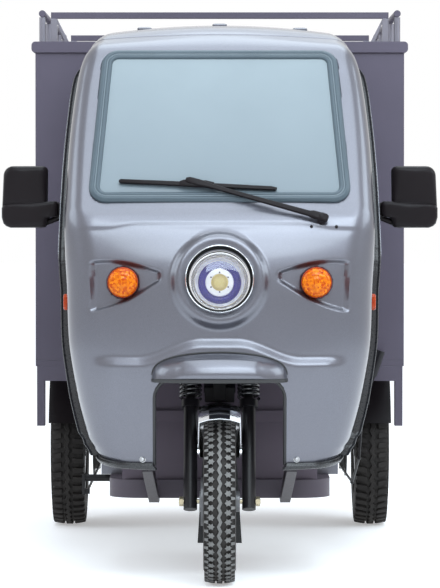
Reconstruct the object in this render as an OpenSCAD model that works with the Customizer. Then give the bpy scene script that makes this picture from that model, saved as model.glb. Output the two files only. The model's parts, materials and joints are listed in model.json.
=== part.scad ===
// Electric cargo tricycle: one steered front wheel, open-sided cab, closed cargo box, driven rear axle.
// Millimetres. The vehicle faces -Y, its left side is +X, Z is up and the tyres stand on Z = 0.

/* [Layout] */
// Front axle to the cargo box front
box_setback = 950; // [900:5:1000]
// Front axle to rear axle
wheelbase = 2000; // [1900:10:2060]
// Cargo box back to the bumper's rear face
rear_reach = 112; // [100:2:130]
// Gap left between pieces that are not fused
seam = 0.3; // [0.2:0.1:0.6]
// Gap round pieces that move
swing_gap = 6; // [5:0.5:10]
// Radial clearance of a turning fit
run_fit = 0.05; // [0.02:0.01:0.1]

/* [Wheels] */
// Front tyre radius
front_tyre_r = 238; // [225:1:245]
// Front tyre width
front_tyre_w = 96; // [85:1:105]
// Rear tyre radius
rear_tyre_r = 270; // [255:1:275]
// Rear tyre width
rear_tyre_w = 118; // [105:1:125]
// Rim bead seat radius
rim_r = 152; // [145:1:158]
// Rear wheel centre, half of the track
rear_half_track = 517; // [505:1:520]
// Front axle pin radius
front_axle_r = 7; // [6:0.5:9]
// Rear half shaft radius
rear_shaft_r = 13; // [11:0.5:16]

/* [Fork] */
// Rake of the steering axis, degrees
rake = 20; // [18:0.5:22]
// Axle lead in front of the steering axis
fork_lead = 40; // [34:1:46]
// Fork leg spacing, half
leg_x = 85; // [82:1:90]
// Fork slider radius
slider_r = 20; // [17:0.5:22]
// Fork tube radius
stanchion_r = 15; // [13:0.5:16]
// Steering stem radius
stem_r = 14; // [12:0.5:16]
// Outer radius of the fork spring
spring_r = 34; // [31:0.5:36]
// Wire radius of the fork spring
wire_r = 5; // [4:0.5:5.5]
// Turns of the fork spring
spring_turns = 6; // [5:1:7]
// Front mudguard half width
guard_x = 60; // [56:0.5:61]
// Front edge of the front mudguard above the axle in degrees
guard_front = 60; // [60:1:66]
// Handlebar half width
bar_half = 340; // [310:5:360]

/* [Front panel] */
// Panel thickness
skin = 4; // [3:0.5:5]
// Height of the panel's bottom edge
panel_z0 = 346; // [342:1:352]
// Wheel cut-out half width
cutout_x = 188; // [186:1:196]
// Wheel cut-out top height
cutout_z = 602; // [594:1:610]
// Headlamp centre height
lamp_z = 882; // [870:1:895]
// Headlamp bezel radius
bezel_r = 100; // [92:1:104]
// Raised lamp seat radius at its foot
seat_foot_r = 141; // [134:1:146]
// Turn lamp position from the centre
turn_x = 278; // [272:1:284]
// Turn lamp height
turn_z = 876; // [868:1:884]
// Turn lamp radius
turn_r = 44; // [40:0.5:47]
// Depth of the turn lamp recess
recess = 16; // [10:1:20]
// Depth of the pressed shoulder
shoulder = 14; // [10:1:18]
// Flare of the panel's rolled edge
lip = 7; // [5:0.5:9]
// Edge trim reach outside the rolled edge
trim_out = 17; // [14:0.5:20]

/* [Windscreen] */
// Windscreen bottom half width over the gasket
screen_x0 = 375; // [368:1:380]
// Windscreen top half width over the gasket
screen_x1 = 345; // [338:1:350]
// Windscreen corner radius
screen_corner = 48; // [42:1:54]
// Gasket band width
gasket_w = 28; // [24:1:32]
// Gasket depth
gasket_t = 24; // [22:1:28]
// Glass thickness
glass_t = 6; // [5:0.5:8]

/* [Cab] */
// Floor pan half width
pan_x = 331; // [325:1:340]
// Floor pan bottom height
pan_z = 225; // [218:1:230]
// Floor level
floor_z = 280; // [276:1:286]
// Seat box top height
seat_z = 640; // [620:5:660]
// Seat box half width
seat_x = 360; // [345:5:380]
// Seat box front, in front of the cargo box
seat_front = 438; // [420:2:450]
// Mirror outer edge from the centre
mirror_x = 646; // [630:2:660]

/* [Cargo box] */
// Box length
box_len = 1600; // [1560:5:1640]
// Box side outside the rear mudguards
guard_tuck = 4; // [2:0.5:8]
// Rear mudguard width
guard_w = 127; // [124:1:130]
// Box floor bottom height
box_z0 = 590; // [586:1:600]
// Box roof top height
box_z1 = 1615; // [1580:5:1650]
// Wall thickness
wall = 22; // [18:1:26]
// Door thickness
door_t = 24; // [20:1:28]
// Raised load panel of the floor and the roof
deck_h = 4; // [3:0.5:6]
// Roof rail top height above the box
rack_h = 100; // [90:2:110]
// Hinge pin radius
pin_r = 6; // [5:0.5:7]

/* [Frame] */
// Main rail height
rail_h = 80; // [70:2:90]
// Main rail width
rail_w = 50; // [44:2:56]
// Main rail centre from the middle
rail_x = 300; // [290:1:305]
// Bed bearer height
bearer_h = 47; // [44:1:50]

/* [Hidden] */
$fa = 6;
$fs = 1.5;
$fn = 0;
length = front_tyre_r + box_setback + box_len + rear_reach;
fy = front_tyre_r - length/2;
ry = fy + wheelbase;
bx0 = fy + box_setback;
bx1 = bx0 + box_len;
rail_z1 = box_z0 - bearer_h;
guard_inner = rear_half_track - rear_tyre_w/2 - 7;
box_x = guard_inner + guard_w + guard_tuck;
rail_z0 = rail_z1 - rail_h;
post_y = bx0 - 168;
pan_y = fy + 287;
head_y = fy + fork_lead/cos(rake);
bulk_y = pan_y + 18;

// Plain helpers
module block(x0, x1, y0, y1, z0, z1) translate([x0, y0, z0]) cube([x1-x0, y1-y0, z1-z0]);
module both() { children(); mirror([1, 0, 0]) children(); }
module rod(p, q, r) {
  v = q-p;
  translate(p) rotate([0, acos(v[2]/norm(v)), atan2(v[1], v[0])]) cylinder(r=r, h=norm(v));
}
module bent_tube(pts, r, ball=0.6) {
  for (i=[0:len(pts)-2]) rod(pts[i], pts[i+1], r);
  for (i=[1:len(pts)-2]) translate(pts[i]) sphere(r=r+ball);
}
module along_x(x0, x1, y, z, r) translate([x0, y, z]) rotate([0, 90, 0]) cylinder(r=r, h=x1-x0);
module along_y(y0, y1, x, z, r) translate([x, y0, z]) rotate([-90, 0, 0]) cylinder(r=r, h=y1-y0);
module slab(x0, x1, y0, y1, r) {
  translate([x0+r, y0]) square([x1-x0-2*r, y1-y0]);
  translate([x0, y0+r]) square([x1-x0, y1-y0-2*r]);
  for (x=[x0+r, x1-r]) for (y=[y0+r, y1-r]) translate([x, y]) circle(r=r);
}
// A sheet worked as one facet mesh
module sheet() resize([0, 0, 0]) children();

// Cab skin: rows of [set-back, height, half width, depth of the side, corner radius, front sweep angle]
screen_a = 31;
screen_z0 = 1098;
screen_len = 530;
screen_d0 = -26;
function screen_row(v, w, dep, rc) =
  [screen_d0+v*sin(screen_a), screen_z0+v*cos(screen_a), w, dep, rc, 1.5];
skin_rows = [
  [-62, panel_z0-20, 318, 130, 95, 9],
  [-64, panel_z0, 344, 145, 100, 9],
  [-68, panel_z0+18, 364, 162, 106, 9],
  [-78, panel_z0+60, 383, 185, 112, 9],
  [-96, 520, 411, 215, 118, 9],
  [-110, 690, 437, 238, 118, 8],
  [-104, lamp_z, 444, 250, 112, 7],
  [-76, 1000, 449, 245, 92, 4],
  screen_row(-30, 450, 238, 62),
  screen_row(40, 449, 230, 56),
  screen_row(250, 441, 195, 54),
  screen_row(430, 425, 150, 52),
  screen_row(540, 406, 118, 54),
  [316, 1606, 394, 110, 64, 5],
  [380, 1632, 391, 124, 76, 7],
  [500, 1642, 391, 128, 80, 8],
  [700, 1643, 391, 128, 80, 8],
  [box_setback-26, 1638, 390, 128, 80, 8],
  [box_setback+200, 1628, 390, 128, 80, 8]];
s_bottom = 1;
s_seam = 13;
s_back = 17;
function blend(a, b, c, d, t) =
  0.5*(2*b + (c-a)*t + (2*a-5*b+4*c-d)*t*t + (3*b-a-3*c+d)*t*t*t);
function skin_row(s) =
  let (i = min(max(floor(s), 1), len(skin_rows)-3), t = s-i)
  blend(skin_rows[i-1], skin_rows[i], skin_rows[i+1], skin_rows[i+2], t);
// Across the panel: shallow front arc, corner arc, straight side
u_front = 0.62;
u_corner = 0.86;
function across(u, w, dep, rc, a, o) =
  let (big = (w-rc*(1-sin(a)))/sin(a), cx = (big-rc)*sin(a), cy = big*(1-cos(a))+rc*cos(a))
  u <= u_front
    ? let (q = a*u/u_front) [(big+o)*sin(q), big-(big+o)*cos(q)]
    : u <= u_corner
      ? let (q = a+(90-a)*(u-u_front)/(u_corner-u_front)) [cx+(rc+o)*sin(q), cy-(rc+o)*cos(q)]
      : [w+o, cy+(dep-cy)*(u-u_corner)/(1-u_corner)];
function step01(a, b, x) = let (t = min(max((x-a)/(b-a), 0), 1)) t*t*(3-2*t);
// Pressed forms: drop-shaped lamp recess (inward), shoulder over the hood (outward), rolled edge
recess_in = turn_x-113;
recess_out = turn_x+92;
function recess_at(x, z) =
  let (q = min(max((x-recess_in)/(recess_out-recess_in), 0), 1), half = 8+64*sin(90*q), mid = turn_z+20-29*q)
  step01(recess_in, recess_in+16, x)*(1-step01(recess_out-10, recess_out+8, x))
  *(1-step01(half-9, half+9, abs(z-mid)));
function step_line(x) = 702-53*step01(50, 235, abs(x));
function step_at(x, z) =
  (1-step01(-14, 14, z-step_line(x)))*step01(450, 640, z)*(1-step01(300, 375, abs(x)));
function press(x, z) = shoulder*step_at(x, z) - recess*recess_at(abs(x), z);
function edge_out(s) = lip+9*(1-step01(3, 6, s));
function roll(s, u) = max(edge_out(s)*step01(0.95, 1, abs(u))*(1-step01(12.4, 13, s)),
  lip*(1-step01(1, 1.5, s)));
function skin_pt(s, u, o, pressed) =
  let (a = skin_row(s-0.01), b = skin_row(s+0.01), r = skin_row(s),
       ty = b[0]-a[0], tz = b[1]-a[1], n = norm([ty, tz]), ny = -tz/n, nz = ty/n,
       flat = across(abs(u), r[2], r[3], r[4], r[5], 0),
       e = pressed ? press(flat[0]*sign(u), r[1])+roll(s, u) : 0,
       p = across(abs(u), r[2], r[3], r[4], r[5], o+e))
  [p[0]*sign(u), fy+r[0]-ny*p[1], r[1]-nz*p[1]];
function cols(nf, nc, ns) = concat(
  [for (i=[0:nf-1]) u_front*i/nf], [for (i=[0:nc-1]) u_front+(u_corner-u_front)*i/nc],
  [for (i=[0:ns]) u_corner+(1-u_corner)*i/ns]);
function mirrored(a) = concat([for (i=[len(a)-1:-1:1]) -a[i]], a);
// Shell between two offsets of the skin over the row values ss and the column values us
module skin_shell(ss, us, o_out, o_in, pressed) {
  n = len(us);
  m = len(ss);
  outer = [for (s=ss) for (u=us) skin_pt(s, u, o_out, pressed)];
  inner = [for (s=ss) for (u=us) skin_pt(s, u, o_in, pressed)];
  k = n*m;
  faces = concat(
    [for (i=[0:m-2]) for (j=[0:n-2]) each [[i*n+j, i*n+n+j, i*n+j+1], [i*n+j+1, i*n+n+j, i*n+n+j+1]]],
    [for (i=[0:m-2]) for (j=[0:n-2]) each [[k+i*n+j, k+i*n+j+1, k+i*n+n+j],
      [k+i*n+j+1, k+i*n+n+j+1, k+i*n+n+j]]],
    [for (i=[0:m-2]) each [[i*n, k+i*n, i*n+n], [i*n+n, k+i*n, k+i*n+n],
      [i*n+n-1, i*n+2*n-1, k+i*n+n-1], [i*n+2*n-1, k+i*n+2*n-1, k+i*n+n-1]]],
    [for (j=[0:n-2]) each [[j, j+1, k+j], [j+1, k+j+1, k+j],
      [k-n+j, 2*k-n+j, k-n+j+1], [k-n+j+1, 2*k-n+j, 2*k-n+j+1]]]);
  polyhedron(points=concat(outer, inner), faces=faces);
}
function range(a, b, n) = [for (i=[0:n]) a+(b-a)*i/n];
panel_rows = concat([1, 1.25, 1.5, 2], range(2.5, 4, 3), range(4.2, 6.8, 13), range(7, 9, 6),
  range(9.5, 12, 5), [12.5, 13]);
panel_cols = mirrored(cols(10, 4, 2));

// Frames of the windscreen and the headlamp
module on_screen() translate([0, fy+screen_d0, screen_z0]) rotate([90-screen_a, 0, 0]) children();
module on_lamp() translate([0, fy-104, lamp_z]) rotate([90-lamp_tilt, 0, 0]) children();
lamp_tilt = 9;
screen_low = 14;
module screen_outline(grow) hull() {
  r = screen_corner;
  for (m=[-1, 1]) {
    translate([m*(screen_x0-r), screen_low+r]) circle(r=r+grow, $fn=48);
    translate([m*(screen_x1-r), screen_len-r]) circle(r=r+grow, $fn=48);
  }
}

// Frame
module chassis_rails() color("#1d1d20") both() {
  block(rail_x-rail_w/2, rail_x+rail_w/2, post_y, bx1, rail_z0, rail_z1);
  block(rail_x-rail_w/2, rail_x+rail_w/2, post_y, post_y+rail_w, pan_z+11, rail_z0+1);
  block(rail_x-rail_w/2, rail_x+rail_w/2-20, pan_y+40, post_y+1, pan_z+11, floor_z-skin);
  for (q=[-1, 1]) {
    for (x=[rail_x-rail_w/2-6, rail_x+rail_w/2])
      block(x, x+6, ry+q*eye_y-30, ry+q*eye_y+30, eye_z-24, rail_z0+30);
    along_x(rail_x-rail_w/2-5, rail_x+rail_w/2+5, ry+q*eye_y, eye_z, 9);
  }
}
module crossmembers() color("#1d1d20") {
  inner = rail_x-rail_w/2;
  for (y=[post_y+5, bx0+360, ry-eye_y-82, ry+eye_y+37, bx1-50])
    block(-inner, inner, y, y+40, rail_z0+10, rail_z1-10);
  for (y=[pan_y+60, post_y-60]) block(-inner, inner, y, y+40, pan_z+15, floor_z-skin-4);
}
yoke_z = 414;
head_z0 = yoke_z+12;
head_z1 = 560;
module on_steer() translate([0, head_y, front_tyre_r]) rotate([-rake, 0, 0]) children();
module steering_head() color("#1d1d20") difference() {
  union() {
    on_steer() translate([0, 0, head_z0]) cylinder(r=28, h=head_z1-head_z0);
    for (m=[-24, 16]) translate([m, 0, 0]) rotate([90, 0, 90]) linear_extrude(height=8)
      polygon([[head_y+150, 648], [bulk_y-seam, 648], [bulk_y-seam, 735], [head_y+181, 735]]);
    block(-24, 24, head_y+150, bulk_y-seam, 648, 656);
  }
  on_steer() translate([0, 0, head_z0-60]) cylinder(r=stem_r+run_fit, h=head_z1-head_z0+160);
}
module floor_pan() color("#27272b") difference() {
  translate([0, 0, pan_z]) linear_extrude(height=floor_z-pan_z) difference() {
    slab(-pan_x, pan_x, pan_y, post_y+100, 100);
    translate([-pan_x-1, post_y]) square([2*pan_x+2, 200]);
  }
  translate([0, 0, pan_z-1]) linear_extrude(height=floor_z-pan_z+1-skin) difference() {
    slab(-pan_x+skin, pan_x-skin, pan_y+skin, post_y+200, 96);
  }
}
module bulkhead() color("#27272b") {
  block(-pan_x+40, pan_x-40, bulk_y, bulk_y+6, floor_z, 760);
  for (z=[452]) block(-pan_x+60, pan_x-60, bulk_y-12, bulk_y+1, z, z+34);
  for (m=[-1, 1]) block(m*160-20, m*160+20, bulk_y+5, bulk_y+30, floor_z, 740);
}
strut_x = cutout_x+6;
module fairing_struts() color("#2a2a2e") both() sheet() difference() {
  union() {
    block(strut_x, strut_x+30, fy-70, fy-8, panel_z0+16, panel_z0+70);
    hull() {
      block(strut_x, strut_x+30, fy-24, fy-8, panel_z0-20, panel_z0+30);
      block(strut_x-14, strut_x+16, pan_y-14, pan_y-2, pan_z-12, pan_z-seam);
    }
    block(strut_x-14, strut_x+16, pan_y-14, pan_y+80, pan_z-12, pan_z-seam);
  }
  skin_shell(concat([0.6], panel_rows), panel_cols, 60, -skin-0.5, true);
}

// Front panel, trim and hood
module front_fairing() color("#9aa0ac") sheet() difference() {
  union() {
    skin_shell(panel_rows, panel_cols, 0, -skin, true);
    on_lamp() translate([0, 0, -12]) cylinder(r1=seat_foot_r+6, r2=bezel_r+16, h=30, $fn=64);
  }
  on_screen() translate([0, 0, -60]) linear_extrude(height=120) screen_outline(seam);
  on_lamp() translate([0, 0, -80]) cylinder(r=bezel_r-12+seam, h=200, $fn=64);
  on_lamp() translate([0, 0, -80]) cylinder(r=seat_foot_r-10, h=80-8, $fn=48);
  both() along_y(fy-200, fy+100, turn_x, turn_z, turn_r+seam, $fn=48);
  on_screen() translate([wipe_piv[0], wipe_piv[1], -60]) cylinder(r=12+seam, h=120, $fn=32);
  translate([0, fy+100, 0]) rotate([90, 0, 0]) linear_extrude(height=400) {
    translate([-cutout_x, 0]) square([2*cutout_x, cutout_z-60]);
    translate([-cutout_x+60, 0]) square([2*cutout_x-120, cutout_z]);
    for (m=[-1, 1]) translate([m*(cutout_x-60), cutout_z-60]) circle(r=60, $fn=48);
  }
}
module edge_strip(ss, x0, x1, b0, b1, flare) {
  m = len(ss);
  pts = [for (s=ss) let (p = skin_pt(s, 1, 0, false), b = edge_dir(s), e = flare*roll(s, 1))
    each [p+[x1+e, 0, 0]+b*b0, p+[x1+e, 0, 0]+b*b1, p+[x0, 0, 0]+b*b1, p+[x0, 0, 0]+b*b0]];
  polyhedron(points=pts, faces=concat([[3, 2, 1, 0]], [[for (j=[0:3]) 4*m-4+j]],
    [for (i=[0:m-2]) for (j=[0:3]) each [[4*i+j, 4*i+(j+1)%4, 4*i+4+j],
      [4*i+(j+1)%4, 4*i+4+(j+1)%4, 4*i+4+j]]]));
}
function edge_dir(s) = let (q = skin_pt(s, 1, 0, false)-skin_pt(s, 0.95, 0, false)) q/norm(q);
function lower_pt(u, o, d) =
  let (p = skin_pt(1, u, o, false), q = skin_pt(1.05, u, o, false)) p+(p-q)*d/norm(p-q);
module lower_strip(us, o0, o1, d0, d1) {
  m = len(us);
  pts = [for (u=us) each [lower_pt(u, o0, d0), lower_pt(u, o1, d0), lower_pt(u, o1, d1),
    lower_pt(u, o0, d1)]];
  polyhedron(points=pts, faces=concat([[3, 2, 1, 0]], [[for (j=[0:3]) 4*m-4+j]],
    [for (i=[0:m-2]) for (j=[0:3]) each [[4*i+j, 4*i+(j+1)%4, 4*i+4+j],
      [4*i+(j+1)%4, 4*i+4+(j+1)%4, 4*i+4+j]]]));
}
lower_u0 = u_front*asin(cutout_x/((skin_rows[1][2]-skin_rows[1][4]*(1-sin(9)))/sin(9)))/9;
module fairing_trim() color("#161618") both() {
  edge_strip(panel_rows, -12, trim_out, seam, 14, 1);
  lower_strip(concat([lower_u0+0.004], range(u_front, u_corner, 8), [0.93, 0.975]), -12, trim_out, seam, 16);
}
hood_x = 194;
hood_z = 600;
hood_h = 76;
hood_d = 106;
function hood_pt(i, j, t) =
  let (a = -90+180*i/20, b = 90*j/8, k = pow(max(cos(a), 0), 0.62))
  [(hood_x-t)*sin(a), fy-96-(hood_d-t)*k*pow(max(cos(b), 0), 0.75), hood_z+(hood_h-t)*k*sin(b)];
module hood_shell() {
  outer = [for (i=[1:19]) for (j=[0:8]) hood_pt(i, j, 0)];
  inner = [for (i=[1:19]) for (j=[0:8]) hood_pt(i, j, skin)];
  n = 9;
  m = 19;
  k = n*m;
  polyhedron(points=concat(outer, inner), faces=concat(
    [for (i=[0:m-2]) for (j=[0:n-2]) each [[i*n+j, i*n+n+j, i*n+j+1], [i*n+j+1, i*n+n+j, i*n+n+j+1]]],
    [for (i=[0:m-2]) for (j=[0:n-2]) each [[k+i*n+j, k+i*n+j+1, k+i*n+n+j],
      [k+i*n+j+1, k+i*n+n+j+1, k+i*n+n+j]]],
    [for (i=[0:m-2]) each [[i*n, k+i*n, i*n+n], [i*n+n, k+i*n, k+i*n+n],
      [i*n+n-1, i*n+2*n-1, k+i*n+n-1], [i*n+2*n-1, k+i*n+2*n-1, k+i*n+n-1]]],
    [for (j=[0:n-2]) each [[j, j+1, k+j], [j+1, k+j+1, k+j],
      [k-n+j, 2*k-n+j, k-n+j+1], [k-n+j+1, 2*k-n+j, 2*k-n+j+1]]]));
}
module fender_hood() color("#9aa0ac") sheet() difference() {
  hood_shell();
  skin_shell(panel_rows, panel_cols, seam, -80, true);
}
module cab_roof() color("#9aa0ac")
  skin_shell(concat([s_seam+0.008], range(13.3, 14, 3), range(14.5, s_back, 4)), mirrored(cols(4, 4, 1)),
    0, -skin, false);
module cab_rear_wall() color("#8f95a1") {
  top = [for (u=mirrored(cols(4, 4, 1))) let (p = skin_pt(s_back, u, -skin-seam, false)) [p[0], p[2]]];
  edge = top[len(top)-1];
  translate([0, bx0-26, 0]) rotate([90, 0, 0]) linear_extrude(height=6)
    polygon(concat(top, [[edge[0], rail_z1], [-edge[0], rail_z1]]));
  for (m=[-1, 1]) block(m*370-12, m*370+12, bx0-56, bx0-31, rail_z1, edge[1]);
  for (z=[760, 980, 1200, 1420]) block(-340, 340, bx0-27, bx0-18, z, z+40);
}
post_out = 27;
function post_pt(s) = skin_pt(s, 1, 0, false)+edge_dir(s)*26+[post_out, 0, 0];
module door_posts() color("#8f95a1") both()
  edge_strip(concat(range(8, 9, 3), range(9.5, 12, 5), [12.5]), 2, post_out, 14+seam, 38, 0);

// Glazing and lamps
module windscreen_gasket() color("#3b454c") on_screen() difference() {
  translate([0, 0, 10-gasket_t]) linear_extrude(height=gasket_t) difference() {
    screen_outline(0);
    screen_outline(-gasket_w);
  }
  translate([0, 0, -glass_t/2-seam]) linear_extrude(height=glass_t+2*seam) screen_outline(-gasket_w+10+seam);
}
module windscreen_glass() color("#b9cbd6", 0.5) on_screen()
  translate([0, 0, -glass_t/2]) linear_extrude(height=glass_t) screen_outline(-gasket_w+10);
wipe_piv = [294, -52];
module wiper() color("#141416") on_screen() {
  blade_a = [-288, 74];
  blade_b = [163, 49];
  mid = [-40, 60];
  hull() for (p=[blade_a, blade_b]) translate([p[0], p[1], glass_t/2+seam]) cylinder(r=4, h=12, $fn=16);
  hull() {
    translate([mid[0], mid[1], glass_t/2+10]) cylinder(r=7, h=7, $fn=16);
    translate([wipe_piv[0], wipe_piv[1], glass_t/2+12]) cylinder(r=10, h=9, $fn=16);
  }
  translate([wipe_piv[0], wipe_piv[1], -10]) cylinder(r=12, h=30);
}
lamp_back = -70;
module headlamp_bezel() color("#d8dade") on_lamp() rotate_extrude() polygon([
  [bezel_r-28, lamp_back], [bezel_r-12, lamp_back], [bezel_r-12, 18+seam], [bezel_r, 18+seam], [bezel_r, 28],
  [bezel_r-2, 34], [bezel_r-5, 34], [bezel_r-6, 30], [bezel_r-15, 22], [bezel_r-17, lamp_back+6],
  [bezel_r-28, lamp_back+6]]);
module headlamp_lens() color("#e9eef2", 0.6) on_lamp()
  rotate_extrude() polygon(concat(
    [[0, lamp_back+6+seam], [bezel_r-17-seam, lamp_back+6+seam], [bezel_r-17-seam, -30]],
    [for (q=[0.85, 0.65, 0.4, 0]) [(bezel_r-17-seam)*q, -30+12*(1-q*q)]]));
side_s = 5.818;
module amber_lamps() color("#f08a14") both() {
  translate([turn_x, fy-108, turn_z]) rotate([90, 0, 0]) rotate_extrude() polygon([
    [0, -62], [turn_r-6, -62], [turn_r-6, -50], [turn_r, -50], [turn_r, 4], [turn_r-5, 12], [turn_r-16, 18],
    [0, 22]]);
  p = skin_pt(side_s, 0.9, 0, false);
  translate([p[0]+seam, p[1], p[2]]) rotate([90, 0, 90]) linear_extrude(height=12) slab(-15, 15, -47, 0, 12);
}
mirror_y = fy+250;
module mirror_housings() color("#1b1a1c") both() {
  mid = post_pt(9.46);
  lean = 24*(post_pt(9.9)[0]-post_pt(9.1)[0])/(post_pt(9.9)[2]-post_pt(9.1)[2]);
  edge = mid[0]+seam+0.4;
  translate([0, mirror_y+22, 0]) rotate([90, 0, 0]) {
    linear_extrude(height=36) slab(mirror_x-138, mirror_x, 1034, 1218, 26);
    linear_extrude(height=46) slab(mirror_x-128, mirror_x-10, 1044, 1208, 24);
  }
  translate([0, mid[1]+12, 0]) rotate([90, 0, 0]) linear_extrude(height=24) polygon([
    [edge-lean, mid[2]-24], [mirror_x-130, mid[2]-24], [mirror_x-130, mid[2]+24], [edge+lean, mid[2]+24]]);
}
module mirror_glasses() color("#cfd6dc") both()
  translate([mirror_x-69, mirror_y+22+seam, 1126]) rotate([-90, 0, 0])
    linear_extrude(height=2) slab(-52, 52, -72, 72, 18);
module dashboard() color("#2a2b2f") sheet() difference() {
  union() {
    intersection() {
      block(-320, 320, fy-200, fy+150, 962, 1030);
      skin_shell(panel_rows, panel_cols, -skin-0.5, -70, true);
    }
    block(-250, 250, fy-22, fy+105, 963, 1029);
    block(-70, 70, fy+30, fy+92, 1025, 1085);
  }
  on_lamp() translate([0, 0, lamp_back-8]) cylinder(r=seat_foot_r+14, h=200, $fn=48);
}

// Seat and controls
module seat_box() color("#8f95a1") difference() {
  block(-seat_x, seat_x, bx0-seat_front, bx0-70, floor_z, seat_z);
  block(-seat_x+skin, seat_x-skin, bx0-seat_front+skin, bx0, floor_z-1, seat_z-skin);
}
module battery_pack() color("#33363a")
  block(-255, 255, bx0-seat_front+30, post_y-20, floor_z+seam, floor_z+230);
module seat_cushion() color("#232325") translate([0, 0, seat_z+seam]) linear_extrude(height=88)
  slab(-seat_x+6, seat_x-6, bx0-seat_front-4, bx0-104, 36);
module seat_backrest() color("#232325") translate([0, bx0-32-seam, 0]) rotate([90, 0, 0])
  linear_extrude(height=70) slab(-seat_x+14, seat_x-14, seat_z+120, seat_z+500, 40);
module brake_controls() color("#1a1a1c") {
  block(rail_x+rail_w/2, 472, bx0-66, bx0-30, rail_z0+8, rail_z0+36);
  foot = [455, rail_z0+20];
  tip = [508, 640];
  half = [tip[1]-foot[1], foot[0]-tip[0]]*8/norm(tip-foot);
  neck = foot+(tip-foot)*0.6;
  translate([0, bx0-42, 0]) rotate([90, 0, 0]) linear_extrude(height=8)
    polygon([foot-half, foot+half, neck+half, neck-half]);
  rod([neck[0], bx0-46, neck[1]]-[6, 0, 17], [tip[0], bx0-46, tip[1]], 13);
  bent_tube([[452, bx0-46, rail_z0+18], [440, bx0-20, 300], [424, bx0+140, 212],
    [axle_x-16, ry-75-seam, 205]], 4, 2.5);
  along_x(-426, -rail_x-rail_w/2, post_y+rail_w/2, pan_z+22, 11);
  block(-430, -420, post_y+10, post_y+40, pan_z-30, pan_z+34);
  rod([-414, post_y+25, pan_z-20], [16-axle_x, ry-75-seam, 205], 4);
  block(-422, -406, post_y+17, post_y+33, pan_z-28, pan_z-12);
  block(-132, -108, bulk_y+6, bulk_y+20, 452, 486);
  rod([-120, bulk_y+16, 470], [-120, bulk_y+90, 350], 8);
  block(-155, -85, bulk_y+80, bulk_y+110, 318, 352);
}

// Load bed and cargo box
overhang = bx1-ry;
bearer_w = 44;
end_bearer_w = 46;
bearer_pitch = 250;
guard_r = rear_tyre_r + 26;
guard_y = sqrt(pow(guard_r+3, 2)-pow(rail_z1-rear_tyre_r, 2)) + swing_gap;
module bearers(y0, y1) {
  n = floor((y1-y0)/bearer_pitch);
  for (i=[1:1:n]) translate([0, y0+(y1-y0)*i/(n+1)-bearer_w/2, 0])
    block(-box_x+40, box_x-40, 0, bearer_w, rail_z1, box_z0);
}
module bed_frame() color("#3a3640") {
  for (y=[bx0, bx1-end_bearer_w]) block(-box_x+4, box_x-4, y, y+end_bearer_w, rail_z1, box_z0);
  bearers(bx0+end_bearer_w, ry-guard_y);
  bearers(ry+guard_y, bx1-end_bearer_w);
  both() block(box_x-28, box_x-4, bx0, bx0+60, 401, rail_z1+1);
}
module box_floor() color("#4c4754") {
  block(-box_x, box_x, bx0, bx1, box_z0, box_z0+18);
  block(-box_x+wall+6, box_x-wall-6, bx0+wall+6, bx1-6, box_z0+17, box_z0+18+deck_h);
}
rib_t = 5;
module box_front_wall() color("#5f5868") block(-box_x, box_x, bx0, bx0+wall, box_z0+18, box_z1-35);
module box_side_walls() color("#5f5868") both() {
  block(box_x-wall, box_x, bx0+wall, bx1, box_z0+18, box_z1-35);
  for (i=[1:5]) block(box_x-1, box_x+rib_t, bx0+box_len*i/6-22, bx0+box_len*i/6+22, box_z0+60, box_z1-75);
}
module box_roof() color("#5f5868") {
  translate([0, bx1, 0]) rotate([90, 0, 0]) linear_extrude(height=box_len+8)
    slab(-box_x-12, box_x+12, box_z1-35, box_z1, 12);
  block(-460, 460, bx0+80, bx1-80, box_z1-1, box_z1+deck_h);
}
rack_x = box_x-21;
module rack_posts() color("#b9bcc2") both() {
  for (y=[bx0+30, bx0+430, bx1-430, bx1-30]) translate([rack_x, y, box_z1]) cylinder(r=10, h=rack_h-22);
  for (y=[bx0+40, bx1-40]) {
    block(rack_x-47, rack_x-27, y-10, y+10, box_z1, box_z1+rack_h-26);
    translate([0, y+4, 0]) rotate([90, 0, 0]) linear_extrude(height=8) polygon([
      [rack_x-84, box_z1], [rack_x-70, box_z1], [rack_x-46, box_z1+rack_h-40],
      [rack_x-46, box_z1+rack_h-26]]);
  }
}
module rack_rails() color("#b9bcc2") {
  for (m=[-1, 1]) along_y(bx0+19, bx1-19, m*rack_x, box_z1+rack_h-11, 11);
  for (y=[bx0+40, bx1-40]) block(-rack_x+27, rack_x-27, y-10, y+10, box_z1+rack_h-26, box_z1+rack_h-6);
}
module rear_mudguards() color("#131314") both() {
  translate([guard_inner, ry, rear_tyre_r]) rotate([90, 0, 90]) linear_extrude(height=guard_w) difference() {
    circle(r=guard_r+3, $fn=96);
    circle(r=guard_r, $fn=96);
    translate([-guard_r-4, -guard_r-4]) square([2*guard_r+8, guard_r+4+94]);
  }
  block(guard_inner+6, guard_inner+46, ry-20, ry+20, rear_tyre_r+guard_r+2, box_z0);
}
axle_x = rear_half_track-87;
module rear_axle() color("#2b2c30") {
  along_x(-axle_x, axle_x, ry, rear_tyre_r, 32);
  along_x(-70, 70, ry, rear_tyre_r, 92);
  for (m=[-1, 1]) {
    translate([m*(axle_x+3)-3, 0, 0]) along_x(0, 6, ry, rear_tyre_r, 104);
    translate([m > 0 ? axle_x : -rear_half_track-62, 0, 0])
      along_x(0, rear_half_track+62-axle_x, ry, rear_tyre_r, rear_shaft_r);
    block(m*rail_x-30, m*rail_x+30, ry-50, ry+50, rear_tyre_r+20, rear_tyre_r+44);
    block(m*(axle_x-10)-10, m*(axle_x-10)+10, ry-75, ry-45, 195, 262);
  }
}
motor_r = 88;
module drive_motor() color("#4a4c50")
  along_x(-40, 190, ry-sqrt(pow(92+motor_r+seam, 2)-400), rear_tyre_r+20, motor_r);
leaf_half = overhang*7/11;
leaf_t = 8;
leaf_n = 4;
leaf_rise = 70;
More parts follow.
